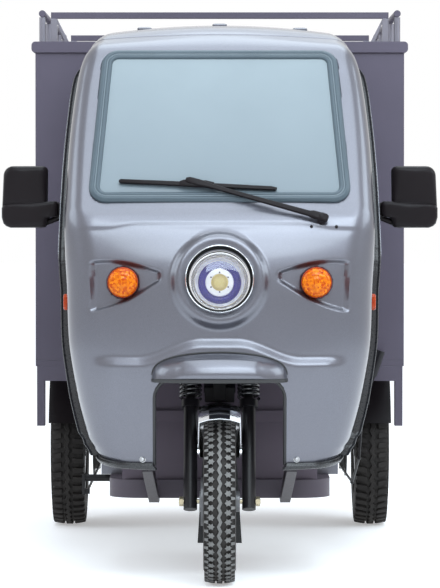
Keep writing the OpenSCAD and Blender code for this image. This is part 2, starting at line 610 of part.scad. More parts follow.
leaf_bend = (pow(leaf_half, 2)+pow(leaf_rise, 2))/(2*leaf_rise);
leaf_z = rear_tyre_r+44+leaf_t*(leaf_n-1);
eye_y = leaf_half+8;
eye_z = leaf_z+leaf_rise+14;
module leaf(reach) intersection() {
  translate([-reach, -1]) square([2*reach, leaf_rise+leaf_t+2]);
  difference() {
    translate([0, leaf_bend]) circle(r=leaf_bend, $fn=180);
    translate([0, leaf_bend+leaf_t]) circle(r=leaf_bend, $fn=180);
  }
}
module leaf_springs() color("#202124") both() translate([rail_x-22, 0, 0]) rotate([90, 0, 90])
  linear_extrude(height=44) translate([ry, 0]) difference() {
    union() {
      for (i=[0:leaf_n-1]) translate([0, leaf_z-i*leaf_t]) leaf(leaf_half*(1-i*0.23));
      for (m=[-1, 1]) translate([m*eye_y, eye_z]) circle(r=19);
    }
    for (m=[-1, 1]) translate([m*eye_y, eye_z]) circle(r=9+seam);
  }
module tail_lamps() color("#b0181c") both()
  block(box_x-170, box_x-50, bx1+seam, bx1+40, rail_z1-10, box_z0-5);
module rear_bumper() color("#26262a") {
  along_x(-540, 540, bx1+rear_reach-24, rail_z0+40, 24);
  both() block(rail_x-20, rail_x+20, bx1, bx1+rear_reach-30, rail_z0+20, rail_z0+60);
}

// Rear doors and hinges
hinge_x = box_x+15;
hinge_y = bx1+swing_gap+door_t/2;
door_z0 = box_z0+24;
door_z1 = box_z1-41;
hinge_zs = [box_z0+110, (box_z0+box_z1)/2-10, box_z1-160];
module door_hinges() color("#2a2a2d") both() for (z=hinge_zs) {
  translate([hinge_x, hinge_y, z-30]) cylinder(r=12, h=30-seam);
  translate([hinge_x, hinge_y, z-30]) cylinder(r=pin_r, h=66);
  block(box_x, box_x+10, bx1-60, hinge_y, z-30, z-seam);
}
module door(m) {
  difference() {
    union() {
      block(3, box_x-3, bx1+swing_gap, bx1+swing_gap+door_t, door_z0, door_z1);
      for (z=[0.3, 0.62]) block(150, box_x-140, bx1+swing_gap+door_t-1, bx1+swing_gap+door_t+rib_t,
        door_z0+(door_z1-door_z0)*z-20, door_z0+(door_z1-door_z0)*z+20);
      for (z=hinge_zs) {
        translate([hinge_x, hinge_y, z]) cylinder(r=12, h=34);
        block(box_x-120, hinge_x, hinge_y+4, hinge_y+12, z, z+34);
      }
    }
    for (z=hinge_zs) translate([hinge_x, hinge_y, z-60]) cylinder(r=pin_r+run_fit, h=160);
    for (z=hinge_zs) translate([hinge_x, hinge_y, z-32]) cylinder(r=18, h=32);
  }
}
module box_door_left() color("#5f5868") door(1);
module box_door_right() color("#5f5868") mirror([1, 0, 0]) door(1);
module door_lock_bar() color("#b9bcc2") {
  y = bx1+swing_gap+door_t;
  translate([-60, y+16, door_z0+20]) cylinder(r=11, h=door_z1-door_z0-40);
  for (z=[door_z0+60, door_z0+430, door_z1-100]) block(-76, -44, y, y+18, z, z+40);
  block(-68, -52, y+20, y+34, door_z0+330, door_z0+400);
}

// Steered fork
leg_y = fork_lead;
slider_top = yoke_z-34-88;
module fork_yokes() color("#1a1a1c") on_steer() {
  translate([0, 0, yoke_z-34]) {
    linear_extrude(height=34) difference() {
      union() {
        translate([-leg_x, -leg_y-26]) square([2*leg_x, 52]);
        for (m=[-1, 1]) translate([m*leg_x, -leg_y]) circle(r=30);
        circle(r=30);
      }
      for (m=[-1, 1]) translate([m*leg_x, -leg_y]) circle(r=stanchion_r);
    }
  }
  translate([-46, -leg_y-6, yoke_z-100]) cube([92, 8, 70]);
  translate([0, 0, yoke_z-10]) cylinder(r=stem_r, h=bar_z+4-yoke_z+10);
  translate([0, 0, head_z1+12]) linear_extrude(height=24) difference() {
    union() {
      translate([-leg_x, -leg_y-22]) square([2*leg_x, 44]);
      for (m=[-1, 1]) translate([m*leg_x, -leg_y]) circle(r=26);
      circle(r=28);
    }
    for (m=[-1, 1]) translate([m*leg_x, -leg_y]) circle(r=stanchion_r);
  }
}
axle_lz = -fork_lead*tan(rake);
module fork_legs() color("#1a1a1c") on_steer() for (m=[-1, 1]) translate([m*leg_x, -leg_y, 0]) difference() {
  union() {
    translate([0, 0, axle_lz-24]) cylinder(r=slider_r, h=slider_top-20+24-axle_lz);
    translate([0, 0, slider_top-22]) cylinder(r=slider_r+7, h=22);
    translate([0, 0, slider_top-10]) cylinder(r=stanchion_r-seam, h=head_z1+40-slider_top+10);
  }
  translate([-60, 0, axle_lz]) rotate([0, 90, 0]) cylinder(r=front_axle_r, h=120);
}
spring_z0 = slider_top+seam;
spring_z1 = yoke_z-34-seam;
module coil() {
  seg = 14;
  side = 6;
  n = seg*spring_turns;
  pitch = (spring_z1-spring_z0-2*wire_r)/n;
  ring = spring_r-wire_r;
  pts = [for (i=[0:n]) let (a = 360*i/seg) for (j=[0:side-1]) let (b = 360*j/side)
    [(ring+wire_r*cos(b))*cos(a), (ring+wire_r*cos(b))*sin(a), spring_z0+wire_r+pitch*i+wire_r*sin(b)]];
  polyhedron(points=pts, faces=concat([[for (j=[0:side-1]) j]], [[for (j=[0:side-1]) n*side+side-1-j]],
    [for (i=[0:n-1]) for (j=[0:side-1]) each [[i*side+j, (i+1)*side+j, i*side+(j+1)%side],
      [i*side+(j+1)%side, (i+1)*side+j, (i+1)*side+(j+1)%side]]]));
}
module fork_springs() color("#2a2a2d") on_steer() for (m=[-1, 1]) translate([m*leg_x, -leg_y, 0]) coil();
fg_r = front_tyre_r+47;
flap_z = front_tyre_r+109.5;
guard_drop = 14;
module guard_arc(x, a0, a1) translate([0, fy, front_tyre_r]) rotate([0, 90, 0]) rotate([0, 0, a0+90])
  rotate_extrude(angle=a1-a0, $fn=120) polygon(concat(
    [for (q=[-1, -0.8, -0.5, 0, 0.5, 0.8, 1]) [fg_r+3-guard_drop*q*q, x*q]],
    [for (q=[1, 0.8, 0.5, 0, -0.5, -0.8, -1]) [fg_r-guard_drop*q*q, x*q]]));
module front_mudguard() color("#dfe1e5") {
  difference() {
    guard_arc(guard_x, 5, 180-guard_front);
    block(-200, 200, fy, fy+400, 0, flap_z);
  }
  for (m=[-1, 1]) {
    on_steer() translate([m*(leg_x-slider_r-seam-3)-3, -leg_y-8, 130]) cube([6, 16, 26]);
    p = [m*(leg_x-slider_r-seam-3), fy+45, front_tyre_r+150];
    rod(p, [m*(guard_x-3), fy-30, front_tyre_r+fg_r-guard_drop+1], 3);
  }
}
module front_mud_flap() color("#131314") {
  translate([0, fy+267, 0]) rotate([90, 0, 0]) linear_extrude(height=5)
    polygon([[-50, flap_z-seam], [50, flap_z-seam], [66, 93], [-66, 93]]);
}
module front_axle() color("#b09a5a") {
  along_x(-leg_x-slider_r-14, leg_x+slider_r+14, fy, front_tyre_r, front_axle_r-seam);
  for (m=[-1, 1]) translate([m > 0 ? leg_x+slider_r+seam : -leg_x-slider_r-seam-12, fy, front_tyre_r])
    rotate([0, 90, 0]) cylinder(r=14, h=12, $fn=6);
}
bar_z = 860;
module handlebar() color("#26262a") on_steer() sheet() {
  translate([0, 0, bar_z-22]) difference() {
    cylinder(r=26, h=40, $fn=48);
    translate([0, 0, -1]) cylinder(r=stem_r+seam, h=30, $fn=48);
  }
  for (m=[-1, 1]) {
    bent_tube([[m*20, 0, bar_z+2], [m*120, 0, bar_z+50], [m*220, 40, bar_z+60],
      [m*bar_half, 90, bar_z+52]], 11, 0, $fn=20);
    bent_tube([[m*204, 34, bar_z+58], [m*212, -6, bar_z+55], [m*(bar_half-16), 42, bar_z+46]], 5, 0, $fn=10);
  }
}
module handlebar_grips() color("#141416") on_steer() for (m=[-1, 1]) {
  v = [m*(bar_half-220), 50, -8];
  e = [m*bar_half, 90, bar_z+52];
  difference() {
    rod(e-v*0.95, e+v*0.03, 16);
    rod(e-v*1.2, e+v*0.2, 11+seam);
  }
}

// Wheels
module tyre(r, w) rotate_extrude($fn=72) difference() {
  union() {
    translate([rim_r+10, -w/2+14]) square([r-rim_r-24, w-28]);
    translate([r-26, -w/2+10]) square([26, w-20]);
    translate([rim_r, -w/2+20]) square([30, w-40]);
    translate([(r+rim_r)/2-2, w/2-22]) circle(r=22, $fn=24);
    translate([(r+rim_r)/2-2, -w/2+22]) circle(r=22, $fn=24);
  }
}
module rim(w, hub_r, bore, hub_l, drum_r) difference() {
  union() {
    rotate_extrude() polygon([[rim_r-16, -w/2+14], [rim_r-seam, -w/2+14], [rim_r-seam, w/2-14],
      [rim_r-16, w/2-14], [rim_r-22, 12], [rim_r-22, -12]]);
    translate([0, 0, -5]) cylinder(r=rim_r-18, h=10);
    translate([0, 0, -hub_l/2]) cylinder(r=hub_r, h=hub_l);
    translate([0, 0, -hub_l/2+4]) cylinder(r=drum_r, h=hub_l/2);
  }
  translate([0, 0, -200]) cylinder(r=bore, h=400);
  for (i=[0:7]) rotate(45*i) translate([rim_r-40, 0, -20]) cylinder(r=12, h=40);
}
module at_front() translate([0, fy, front_tyre_r]) rotate([0, 90, 0]) children();
module at_rear(m) translate([m*rear_half_track, ry, rear_tyre_r]) rotate([0, m*90, 0]) children();
module front_tyre() color("#17171a") at_front() tyre(front_tyre_r, front_tyre_w);
module front_rim() color("#6b6e74") at_front()
  rim(front_tyre_w, 30, front_axle_r-seam+run_fit, 2*(leg_x-slider_r-6), 70);
module rear_tyre_left() color("#17171a") at_rear(1) tyre(rear_tyre_r, rear_tyre_w);
module rear_rim_left() color("#6b6e74") at_rear(1) rim(rear_tyre_w, 36, rear_shaft_r+run_fit, 110, 96);
module rear_tyre_right() color("#17171a") at_rear(-1) tyre(rear_tyre_r, rear_tyre_w);
module rear_rim_right() color("#6b6e74") at_rear(-1) rim(rear_tyre_w, 36, rear_shaft_r+run_fit, 110, 96);

chassis_rails();
crossmembers();
steering_head();
floor_pan();
bulkhead();
fairing_struts();
front_fairing();
fairing_trim();
fender_hood();
cab_roof();
cab_rear_wall();
door_posts();
windscreen_gasket();
windscreen_glass();
wiper();
headlamp_bezel();
headlamp_lens();
amber_lamps();
mirror_housings();
mirror_glasses();
dashboard();
seat_box();
battery_pack();
seat_cushion();
seat_backrest();
brake_controls();
bed_frame();
box_floor();
box_front_wall();
box_side_walls();
box_roof();
rack_posts();
rack_rails();
rear_mudguards();
rear_axle();
drive_motor();
leaf_springs();
tail_lamps();
rear_bumper();
door_hinges();
fork_yokes();
fork_legs();
fork_springs();
front_mudguard();
front_mud_flap();
front_axle();
handlebar();
handlebar_grips();
front_tyre();
front_rim();
rear_tyre_left();
rear_rim_left();
rear_tyre_right();
rear_rim_right();
box_door_left();
box_door_right();
door_lock_bar();
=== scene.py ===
import bpy
import json
import math
from mathutils import Matrix, Vector


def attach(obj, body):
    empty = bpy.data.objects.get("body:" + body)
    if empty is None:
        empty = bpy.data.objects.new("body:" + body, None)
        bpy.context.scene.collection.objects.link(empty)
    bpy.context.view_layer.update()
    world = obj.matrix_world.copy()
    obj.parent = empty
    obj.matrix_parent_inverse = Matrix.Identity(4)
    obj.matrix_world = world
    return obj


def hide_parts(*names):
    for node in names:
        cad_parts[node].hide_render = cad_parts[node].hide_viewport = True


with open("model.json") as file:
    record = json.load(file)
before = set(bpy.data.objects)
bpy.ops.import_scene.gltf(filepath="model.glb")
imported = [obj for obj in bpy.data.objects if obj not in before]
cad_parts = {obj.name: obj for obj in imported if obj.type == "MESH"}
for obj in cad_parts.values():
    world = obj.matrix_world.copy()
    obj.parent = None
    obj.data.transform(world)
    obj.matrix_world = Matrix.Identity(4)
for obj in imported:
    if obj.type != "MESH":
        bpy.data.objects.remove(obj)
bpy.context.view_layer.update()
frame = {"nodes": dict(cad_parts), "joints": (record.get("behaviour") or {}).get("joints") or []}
print("frame loaded")

# Places shared with the solids: axles in metres, the cab in millimetres from the front axle
jointAt = {joint["name"]: joint["pos_m"] for joint in frame["joints"]}
frontAxleY, frontRadius = jointAt["front_wheel_roll"][1:]
halfTrack, rearAxleY, rearRadius = jointAt["rear_left_roll"]
rimRadius = 0.152
sheetThick = 0.004
rake, screenAngle, lampTilt = math.radians(20), math.radians(31), math.radians(9)
screenY, screenZ = -26, 1098
lampY, lampZ = -104, 882
turnX, turnY, turnZ = 278, -108, 876


def leaning(place, angle):
    return Matrix.Translation(place) @ Matrix.Rotation(angle, 4, "X")


def fromAxle(x, y, z):
    return Vector((x / 1000, frontAxleY + y / 1000, z / 1000))


steerFrame = leaning(jointAt["steering_turn"], -rake)
screenFrame = leaning(fromAxle(0, screenY, screenZ), math.pi / 2 - screenAngle)
lampFrame = leaning(fromAxle(0, lampY, lampZ), math.pi / 2 - lampTilt)


# Shader groups
def newGroup(name, inputs, outputs):
    group = bpy.data.node_groups.new(name, "ShaderNodeTree")
    for label, value in inputs.items():
        socket = group.interface.new_socket(label, in_out="INPUT", socket_type="NodeSocketFloat")
        socket.default_value = value
    for label, kind in outputs.items():
        group.interface.new_socket(label, in_out="OUTPUT", socket_type=kind)
    return group, group.nodes.new("NodeGroupInput").outputs, group.nodes.new("NodeGroupOutput").inputs


def put(tree, kind, inputs=None, **settings):
    # inputs are sockets to link or plain values
    node = tree.nodes.new(kind)
    for key, value in settings.items():
        setattr(node, key, value)
    for key, value in (inputs or {}).items():
        if hasattr(value, "is_output"):
            tree.links.new(value, node.inputs[key])
        else:
            node.inputs[key].default_value = value
    return node


def reckon(tree, operation, a, b):
    return put(tree, "ShaderNodeMath", {0: a, 1: b}, operation=operation).outputs[0]


def objectSpace(tree):
    return put(tree, "ShaderNodeTexCoord").outputs["Object"]


def noise(tree, coord, scale, detail):
    return put(tree, "ShaderNodeTexNoise", {"Vector": coord, "Scale": scale, "Detail": detail}).outputs["Fac"]


def cloudGroup():
    # slow and fine noise, each a value from 0 to 1
    group, given, made = newGroup("cloudValue", {"Scale": 6.0, "Fine": 90.0},
                                  {"Value": "NodeSocketFloat", "Fine": "NodeSocketFloat"})
    coord = objectSpace(group)
    group.links.new(noise(group, coord, given["Scale"], 5), made["Value"])
    group.links.new(noise(group, coord, given["Fine"], 2), made["Fine"])
    return group


def flakeAndGlintGroup():
    # lighter cells: the flakes of a metallic paint, and on the turn lens painted glints on its facets
    group, given, made = newGroup("flakeAndGlintValue", {"Scale": 900.0}, {"Value": "NodeSocketFloat"})
    cell = put(group, "ShaderNodeTexVoronoi", {"Vector": objectSpace(group), "Scale": given["Scale"]})
    tone = put(group, "ShaderNodeSeparateColor", {"Color": cell.outputs["Color"]})
    group.links.new(tone.outputs["Red"], made["Value"])
    return group


def dustGroup():
    # thin road film, stronger towards the ground
    group, given, made = newGroup("dustMask", {"Height": 0.5, "Amount": 0.4}, {"Mask": "NodeSocketFloat"})
    coord = objectSpace(group)
    axes = put(group, "ShaderNodeSeparateXYZ", {"Vector": coord})
    low = put(group, "ShaderNodeMapRange", {"Value": axes.outputs["Z"], "From Max": given["Height"],
                                            "To Min": 1.0, "To Max": 0.0})
    patchy = reckon(group, "MULTIPLY", low.outputs["Result"], noise(group, coord, 14, 6))
    group.links.new(reckon(group, "MULTIPLY", patchy, given["Amount"]), made["Mask"])
    return group


def roundGroup():
    # softened edges with a fine surface grain on top
    group, given, made = newGroup("roundedGrain", {"Radius": 0.003, "Scale": 300.0, "Depth": 0.05},
                                  {"Normal": "NodeSocketVector"})
    grain = noise(group, objectSpace(group), given["Scale"], 3)
    edge = put(group, "ShaderNodeBevel", {"Radius": given["Radius"]}, samples=4)
    bump = put(group, "ShaderNodeBump", {"Height": grain, "Strength": given["Depth"], "Distance": 0.001,
                                         "Normal": edge.outputs["Normal"]})
    group.links.new(bump.outputs["Normal"], made["Normal"])
    return group


groups = {"cloud": cloudGroup(), "flakeAndGlint": flakeAndGlintGroup(), "dust": dustGroup(), "round": roundGroup()}
print("shader groups built")


def useGroup(tree, key, **values):
    return put(tree, "ShaderNodeGroup", values, node_tree=groups[key]).outputs


def mixColour(tree, factor, low, high):
    low, high = (tone if hasattr(tone, "is_output") else (*tone, 1.0) for tone in (low, high))
    return put(tree, "ShaderNodeMix", {0: factor, 6: low, 7: high}, data_type="RGBA").outputs[2]


def newMaterial(name):
    mat = bpy.data.materials.new(name)
    mat.use_nodes = True
    return mat, mat.node_tree, mat.node_tree.nodes["Principled BSDF"].inputs


dustColour = (0.36, 0.32, 0.27)
fineScale = 120.0
plainSockets = {"Metallic": ("metal", 0.0), "Coat Weight": ("coat", 0.0),
                "Coat Roughness": ("coatRough", 0.1), "Specular IOR Level": ("specular", 0.5)}


def material(name, spec):
    # one recipe for the opaque finishes: two tones, lighter cells (paint flakes, painted glints), dust,
    # rounded edges
    mat, tree, shader = newMaterial(name)
    cloud = useGroup(tree, "cloud", Scale=spec.get("cloudScale", 5.0), Fine=fineScale)
    colour = mixColour(tree, cloud["Value"], spec["dark"], spec["light"])
    if "flakeAndGlint" in spec:
        flakeAndGlint = useGroup(tree, "flakeAndGlint", Scale=spec["flakeAndGlint"])
        flakeAndGlintTone = put(tree, "ShaderNodeMapRange", {"Value": flakeAndGlint["Value"], "To Max": spec["flakeAndGlintShare"]})
        colour = mixColour(tree, flakeAndGlintTone.outputs["Result"], colour, spec["flakeAndGlintTone"])
    if "dust" in spec:
        height, amount = spec["dust"]
        dust = useGroup(tree, "dust", Height=height, Amount=amount)
        colour = mixColour(tree, dust["Mask"], colour, dustColour)
    smoothest, roughest = spec["rough"]
    rough = put(tree, "ShaderNodeMapRange", {"Value": cloud["Fine"], "To Min": smoothest, "To Max": roughest})
    radius, scale, depth = spec["grain"]
    soft = useGroup(tree, "round", Radius=radius, Scale=scale, Depth=depth)
    tree.links.new(colour, shader["Base Color"])
    tree.links.new(rough.outputs["Result"], shader["Roughness"])
    tree.links.new(soft["Normal"], shader["Normal"])
    for socket, (key, plain) in plainSockets.items():
        shader[socket].default_value = spec.get(key, plain)
    # glow of the lamp parts; on the reflector bowl it is a painted reflection
    if "lampAndPaintedGlow" in spec:
        shader["Emission Color"].default_value = (*spec["lampAndPaintedGlow"], 1.0)
        shader["Emission Strength"].default_value = spec["lampAndPaintedGlowPower"]
    return mat


# Finishes: grain is (softened edge, noise scale, depth), dust is (height, amount), nodes are the solids
finishes = {
    "bodyPaint": {
        "slot": "body_paint", "dark": (0.089, 0.087, 0.105), "light": (0.113, 0.111, 0.132), "flakeAndGlint": 1600.0,
        "flakeAndGlintTone": (0.32, 0.34, 0.40), "flakeAndGlintShare": 0.16, "rough": (0.34, 0.42), "metal": 0.85, "coat": 0.8,
        "coatRough": 0.14, "dust": (0.6, 0.05), "cloudScale": 3.0, "grain": (0.002, 500.0, 0.02),
        "nodes": "front_fairing fender_hood cab_roof cab_rear_wall door_posts seat_box"},
    "boxPaint": {
        "dark": (0.070, 0.058, 0.084), "light": (0.092, 0.077, 0.108), "rough": (0.40, 0.52),
        "coat": 0.1, "coatRough": 0.3, "specular": 0.35, "dust": (0.9, 0.04), "grain": (0.004, 420.0, 0.03),
        "nodes": "rack_rails bed_frame box_floor box_front_wall box_side_walls box_roof"
                 " box_door_left box_door_right"},
    "framePaint": {
        "dark": (0.005, 0.004, 0.006), "light": (0.011, 0.010, 0.012),
        "rough": (0.3, 0.45), "specular": 0.25, "dust": (0.5, 0.06), "grain": (0.003, 260.0, 0.08),
        "nodes": "chassis_rails crossmembers steering_head fork_yokes fork_legs rear_bumper brake_controls"},
    "strutPaint": {
        "dark": (0.026, 0.021, 0.028), "light": (0.042, 0.034, 0.044),
        "rough": (0.3, 0.45), "specular": 0.4, "dust": (0.5, 0.08), "grain": (0.003, 260.0, 0.06),
        "nodes": "fairing_struts"},
    "rackSteel": {
        "dark": (0.15, 0.14, 0.165), "light": (0.25, 0.24, 0.275), "rough": (0.25, 0.4),
        "metal": 0.7, "grain": (0.002, 300.0, 0.08), "nodes": "rack_posts"},
    "springPaint": {
        "slot": "dark_steel", "dark": (0.012, 0.012, 0.013), "light": (0.024, 0.024, 0.026),
        "rough": (0.16, 0.26), "specular": 0.9, "grain": (0.0005, 400.0, 0.03)},
    "wellPaint": {
        "dark": (0.105, 0.080, 0.105), "light": (0.140, 0.110, 0.138),
        "rough": (0.4, 0.55), "specular": 0.3, "dust": (0.5, 0.08), "grain": (0.003, 260.0, 0.06),
        "nodes": "bulkhead"},
    # floor pan: a darker copy of the bulkhead paint; the darkness is painted shade
    "panPaint": {
        "dark": (0.066, 0.052, 0.068), "light": (0.090, 0.072, 0.092),
        "rough": (0.4, 0.55), "specular": 0.3, "dust": (0.5, 0.08), "grain": (0.003, 260.0, 0.06),
        "nodes": "floor_pan"},
    "blackRubber": {
        "slot": "black_rubber", "dark": (0.012, 0.012, 0.013), "light": (0.026, 0.025, 0.026),
        "rough": (0.45, 0.62), "grain": (0.002, 700.0, 0.1),
        "nodes": "fairing_trim front_mud_flap handlebar_grips"},
    "edgeRubber": {
        "slot": "black_rubber", "dark": (0.010, 0.010, 0.012), "light": (0.020, 0.020, 0.022),
        "rough": (0.22, 0.34), "grain": (0.001, 700.0, 0.05)},
    "screenRubber": {
        "slot": "screen_rubber", "dark": (0.052, 0.072, 0.087), "light": (0.080, 0.105, 0.123),
        "rough": (0.34, 0.46), "specular": 0.3, "grain": (0.001, 600.0, 0.05), "nodes": "windscreen_gasket"},
    "fillerRubber": {
        "slot": "screen_rubber", "dark": (0.10, 0.128, 0.148), "light": (0.145, 0.178, 0.202),
        "rough": (0.3, 0.4), "grain": (0.001, 600.0, 0.05)},
    "blackPlastic": {
        "slot": "black_plastic", "dark": (0.007, 0.005, 0.006), "light": (0.013, 0.010, 0.011),
        "rough": (0.30, 0.40), "specular": 0.12, "grain": (0.002, 1400.0, 0.12),
        "nodes": "wiper mirror_housings dashboard rear_mudguards"},
    "tyreRubber": {
        "slot": "tyre", "dark": (0.008, 0.007, 0.007), "light": (0.018, 0.015, 0.015), "rough": (0.55, 0.75),
        "specular": 0.25, "dust": (0.6, 0.12), "cloudScale": 18.0, "grain": (0.001, 500.0, 0.12),
        "nodes": "front_tyre rear_tyre_left rear_tyre_right"},
    "treadRubber": {
        "dark": (0.10, 0.098, 0.095), "light": (0.21, 0.20, 0.19), "rough": (0.6, 0.8),
        "cloudScale": 30.0, "grain": (0.001, 500.0, 0.15)},
    "chrome": {
        "slot": "chrome", "dark": (0.62, 0.63, 0.65), "light": (0.76, 0.77, 0.79), "rough": (0.04, 0.09),
        "metal": 1.0, "grain": (0.001, 200.0, 0.01), "nodes": "headlamp_bezel front_mudguard"},
    "zinc": {
        "slot": "zinc", "dark": (0.36, 0.36, 0.37), "light": (0.52, 0.52, 0.53), "rough": (0.3, 0.45),
        "metal": 0.9, "grain": (0.001, 500.0, 0.06), "nodes": "door_lock_bar handlebar door_hinges"},
    "brass": {
        "dark": (0.42, 0.36, 0.24), "light": (0.58, 0.51, 0.36), "rough": (0.3, 0.45),
        "metal": 0.9, "grain": (0.001, 500.0, 0.06), "nodes": "front_axle"},
    "darkSteel": {
        "slot": "dark_steel", "dark": (0.022, 0.022, 0.024), "light": (0.05, 0.048, 0.048),
        "rough": (0.35, 0.55), "metal": 0.5, "dust": (0.5, 0.4), "grain": (0.002, 180.0, 0.15),
        "nodes": "rear_axle drive_motor leaf_springs fork_springs"},
    "rimPaint": {
        "dark": (0.13, 0.13, 0.14), "light": (0.19, 0.19, 0.20), "rough": (0.32, 0.45),
        "metal": 0.4, "dust": (0.5, 0.3), "grain": (0.002, 260.0, 0.06),
        "nodes": "front_rim rear_rim_left rear_rim_right"},
    # turn lens: its yellow cells are painted highlights on the lens facets
    "amberLens": {
        "slot": "amber_lens", "dark": (0.26, 0.011, 0.0), "light": (0.56, 0.060, 0.001), "flakeAndGlint": 170.0,
        "flakeAndGlintTone": (0.95, 0.34, 0.004), "flakeAndGlintShare": 0.55, "rough": (0.12, 0.22), "coat": 0.12, "coatRough": 0.05,
        "specular": 0.15, "cloudScale": 110.0, "lampAndPaintedGlow": (1.0, 0.16, 0.0), "lampAndPaintedGlowPower": 0.05,
        "grain": (0.001, 160.0, 0.9), "nodes": "amber_lamps"},
    "sideAmber": {
        "slot": "amber_lens", "dark": (0.20, 0.012, 0.003), "light": (0.42, 0.035, 0.004), "flakeAndGlint": 260.0,
        "flakeAndGlintTone": (0.7, 0.10, 0.006), "flakeAndGlintShare": 0.4, "rough": (0.16, 0.26), "coat": 0.15, "coatRough": 0.05,
        "specular": 0.2, "grain": (0.001, 240.0, 0.5)},
    "redLens": {
        "dark": (0.34, 0.008, 0.008), "light": (0.52, 0.02, 0.015), "rough": (0.12, 0.22),
        "coat": 0.6, "coatRough": 0.05, "cloudScale": 60.0, "grain": (0.002, 240.0, 0.3),
        "nodes": "tail_lamps"},
    "seatVinyl": {
        "slot": "seat_vinyl", "dark": (0.018, 0.018, 0.019), "light": (0.036, 0.035, 0.036),
        "rough": (0.42, 0.55), "grain": (0.001, 900.0, 0.4), "nodes": "seat_cushion seat_backrest"},
    "batteryCase": {
        "dark": (0.03, 0.033, 0.036), "light": (0.05, 0.054, 0.058), "rough": (0.45, 0.6),
        "grain": (0.004, 500.0, 0.1), "nodes": "battery_pack"},
    "lampShade": {
        "slot": "black_plastic", "dark": (0.004, 0.004, 0.004), "light": (0.010, 0.010, 0.010),
        "rough": (0.6, 0.7), "specular": 0.1, "grain": (0.001, 400.0, 0.05)},
    "lampDiffuser": {
        "slot": "lamp_glass", "dark": (0.80, 0.80, 0.84), "light": (0.94, 0.93, 0.95), "rough": (0.2, 0.3),
        "coat": 0.4, "coatRough": 0.05, "lampAndPaintedGlow": (0.9, 0.93, 1.0), "lampAndPaintedGlowPower": 0.25,
        "grain": (0.001, 300.0, 0.1)},
    # reflector bowl: its glow is a painted reflection that brightens the chrome
    "silverRing": {
        "slot": "chrome", "dark": (0.60, 0.60, 0.61), "light": (0.86, 0.86, 0.86), "rough": (0.10, 0.2),
        "metal": 0.9, "cloudScale": 120.0, "lampAndPaintedGlow": (0.8, 0.8, 0.8), "lampAndPaintedGlowPower": 0.12,
        "grain": (0.001, 240.0, 0.2)},
    "haloRing": {
        "slot": "lamp_glass", "dark": (0.030, 0.025, 0.20), "light": (0.062, 0.055, 0.32),
        "rough": (0.16, 0.24), "coat": 0.1, "coatRough": 0.1, "specular": 0.25,
        "lampAndPaintedGlow": (0.05, 0.04, 0.30), "lampAndPaintedGlowPower": 0.12, "grain": (0.001, 400.0, 0.1)},
    "lampEmitter": {
        "slot": "amber_lens", "dark": (0.60, 0.48, 0.17), "light": (0.80, 0.68, 0.34), "rough": (0.3, 0.4),
        "cloudScale": 90.0, "lampAndPaintedGlow": (0.8, 0.62, 0.25), "lampAndPaintedGlowPower": 0.15, "grain": (0.001, 900.0, 0.3)},
}
panes = {
    # windscreen: its pale blue-grey tones are painted reflection, darker low on the pane
    "screenGlass": {"low": (0.170, 0.206, 0.230), "high": (0.335, 0.392, 0.412),
                    "transmission": 0.12, "rough": 0.08, "nodes": "windscreen_glass"},
    "lampGlass": {"slot": "lamp_glass", "low": (0.95, 0.96, 0.97), "high": (1.0, 1.0, 1.0),
                  "transmission": 1.0, "rough": 0.0, "nodes": "headlamp_lens"},
}
paneReflectionSpan, paneIndex = (1.10, 1.55), 1.45  # heights over which the painted reflection pales the pane upwards, refraction
mirrorSilver = {"low": (0.80, 0.82, 0.84), "high": (0.86, 0.87, 0.89), "rough": 0.02,
                "nodes": "mirror_glasses"}


def glassMaterial(name, spec):
    # painted reflection: the pane's tone is darker towards the bottom and paler upwards, with a slow random
    # change; metallic and transmission stay plain
    mat, tree, shader = newMaterial(name)
    axes = put(tree, "ShaderNodeSeparateXYZ", {"Vector": objectSpace(tree)})
    low, high = paneReflectionSpan
    slide = put(tree, "ShaderNodeMapRange", {"Value": axes.outputs["Z"], "From Min": low, "From Max": high})
    cloud = useGroup(tree, "cloud", Scale=1.6, Fine=60.0)
    tone = reckon(tree, "MULTIPLY", slide.outputs["Result"], cloud["Value"])
    tree.links.new(mixColour(tree, tone, spec["low"], spec["high"]), shader["Base Color"])
    shader["Roughness"].default_value = spec["rough"]
    shader["Transmission Weight"].default_value = spec["transmission"]
    shader["IOR"].default_value = paneIndex
    return mat


def mirrorMaterial(name, spec):
    mat, tree, shader = newMaterial(name)
    cloud = useGroup(tree, "cloud", Scale=9.0, Fine=200.0)
    tree.links.new(mixColour(tree, cloud["Value"], spec["low"], spec["high"]), shader["Base Color"])
    shader["Metallic"].default_value = 1.0
    shader["Roughness"].default_value = spec["rough"]
    return mat


paints = {name: material(name, spec) for name, spec in finishes.items()}
paints.update({name: glassMaterial(name, spec) for name, spec in panes.items()})
paints["mirrorSilver"] = mirrorMaterial("mirrorSilver", mirrorSilver)
finishes.update(panes, mirrorSilver=mirrorSilver)
for name, spec in finishes.items():
    for node in spec.get("nodes", "").split():
        mesh = frame["nodes"][node].data
        mesh.materials.clear()
        mesh.materials.append(paints[name])
print("finishes set")


# Mesh helpers
def addMesh(name, verts, faces, finish, body, replaced="", sharp=40):
    mesh = bpy.data.meshes.new(name)
    mesh.from_pydata([tuple(v) for v in verts], [], faces)
    mesh.validate()
    mesh.materials.append(paints[finish])
    obj = bpy.data.objects.new(name, mesh)
    bpy.context.scene.collection.objects.link(obj)
    for poly in mesh.polygons:
        poly.use_smooth = True
    mesh.set_sharp_from_angle(angle=math.radians(sharp))
    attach(obj, body)
    if replaced:
        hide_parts(replaced)
    return obj


def thicken(obj):
    # pressed sheet, its outer face as drawn
    mod = obj.modifiers.new("sheet", "SOLIDIFY")
    mod.thickness = sheetThick
    mod.offset = -1
    mod.use_even_offset = False


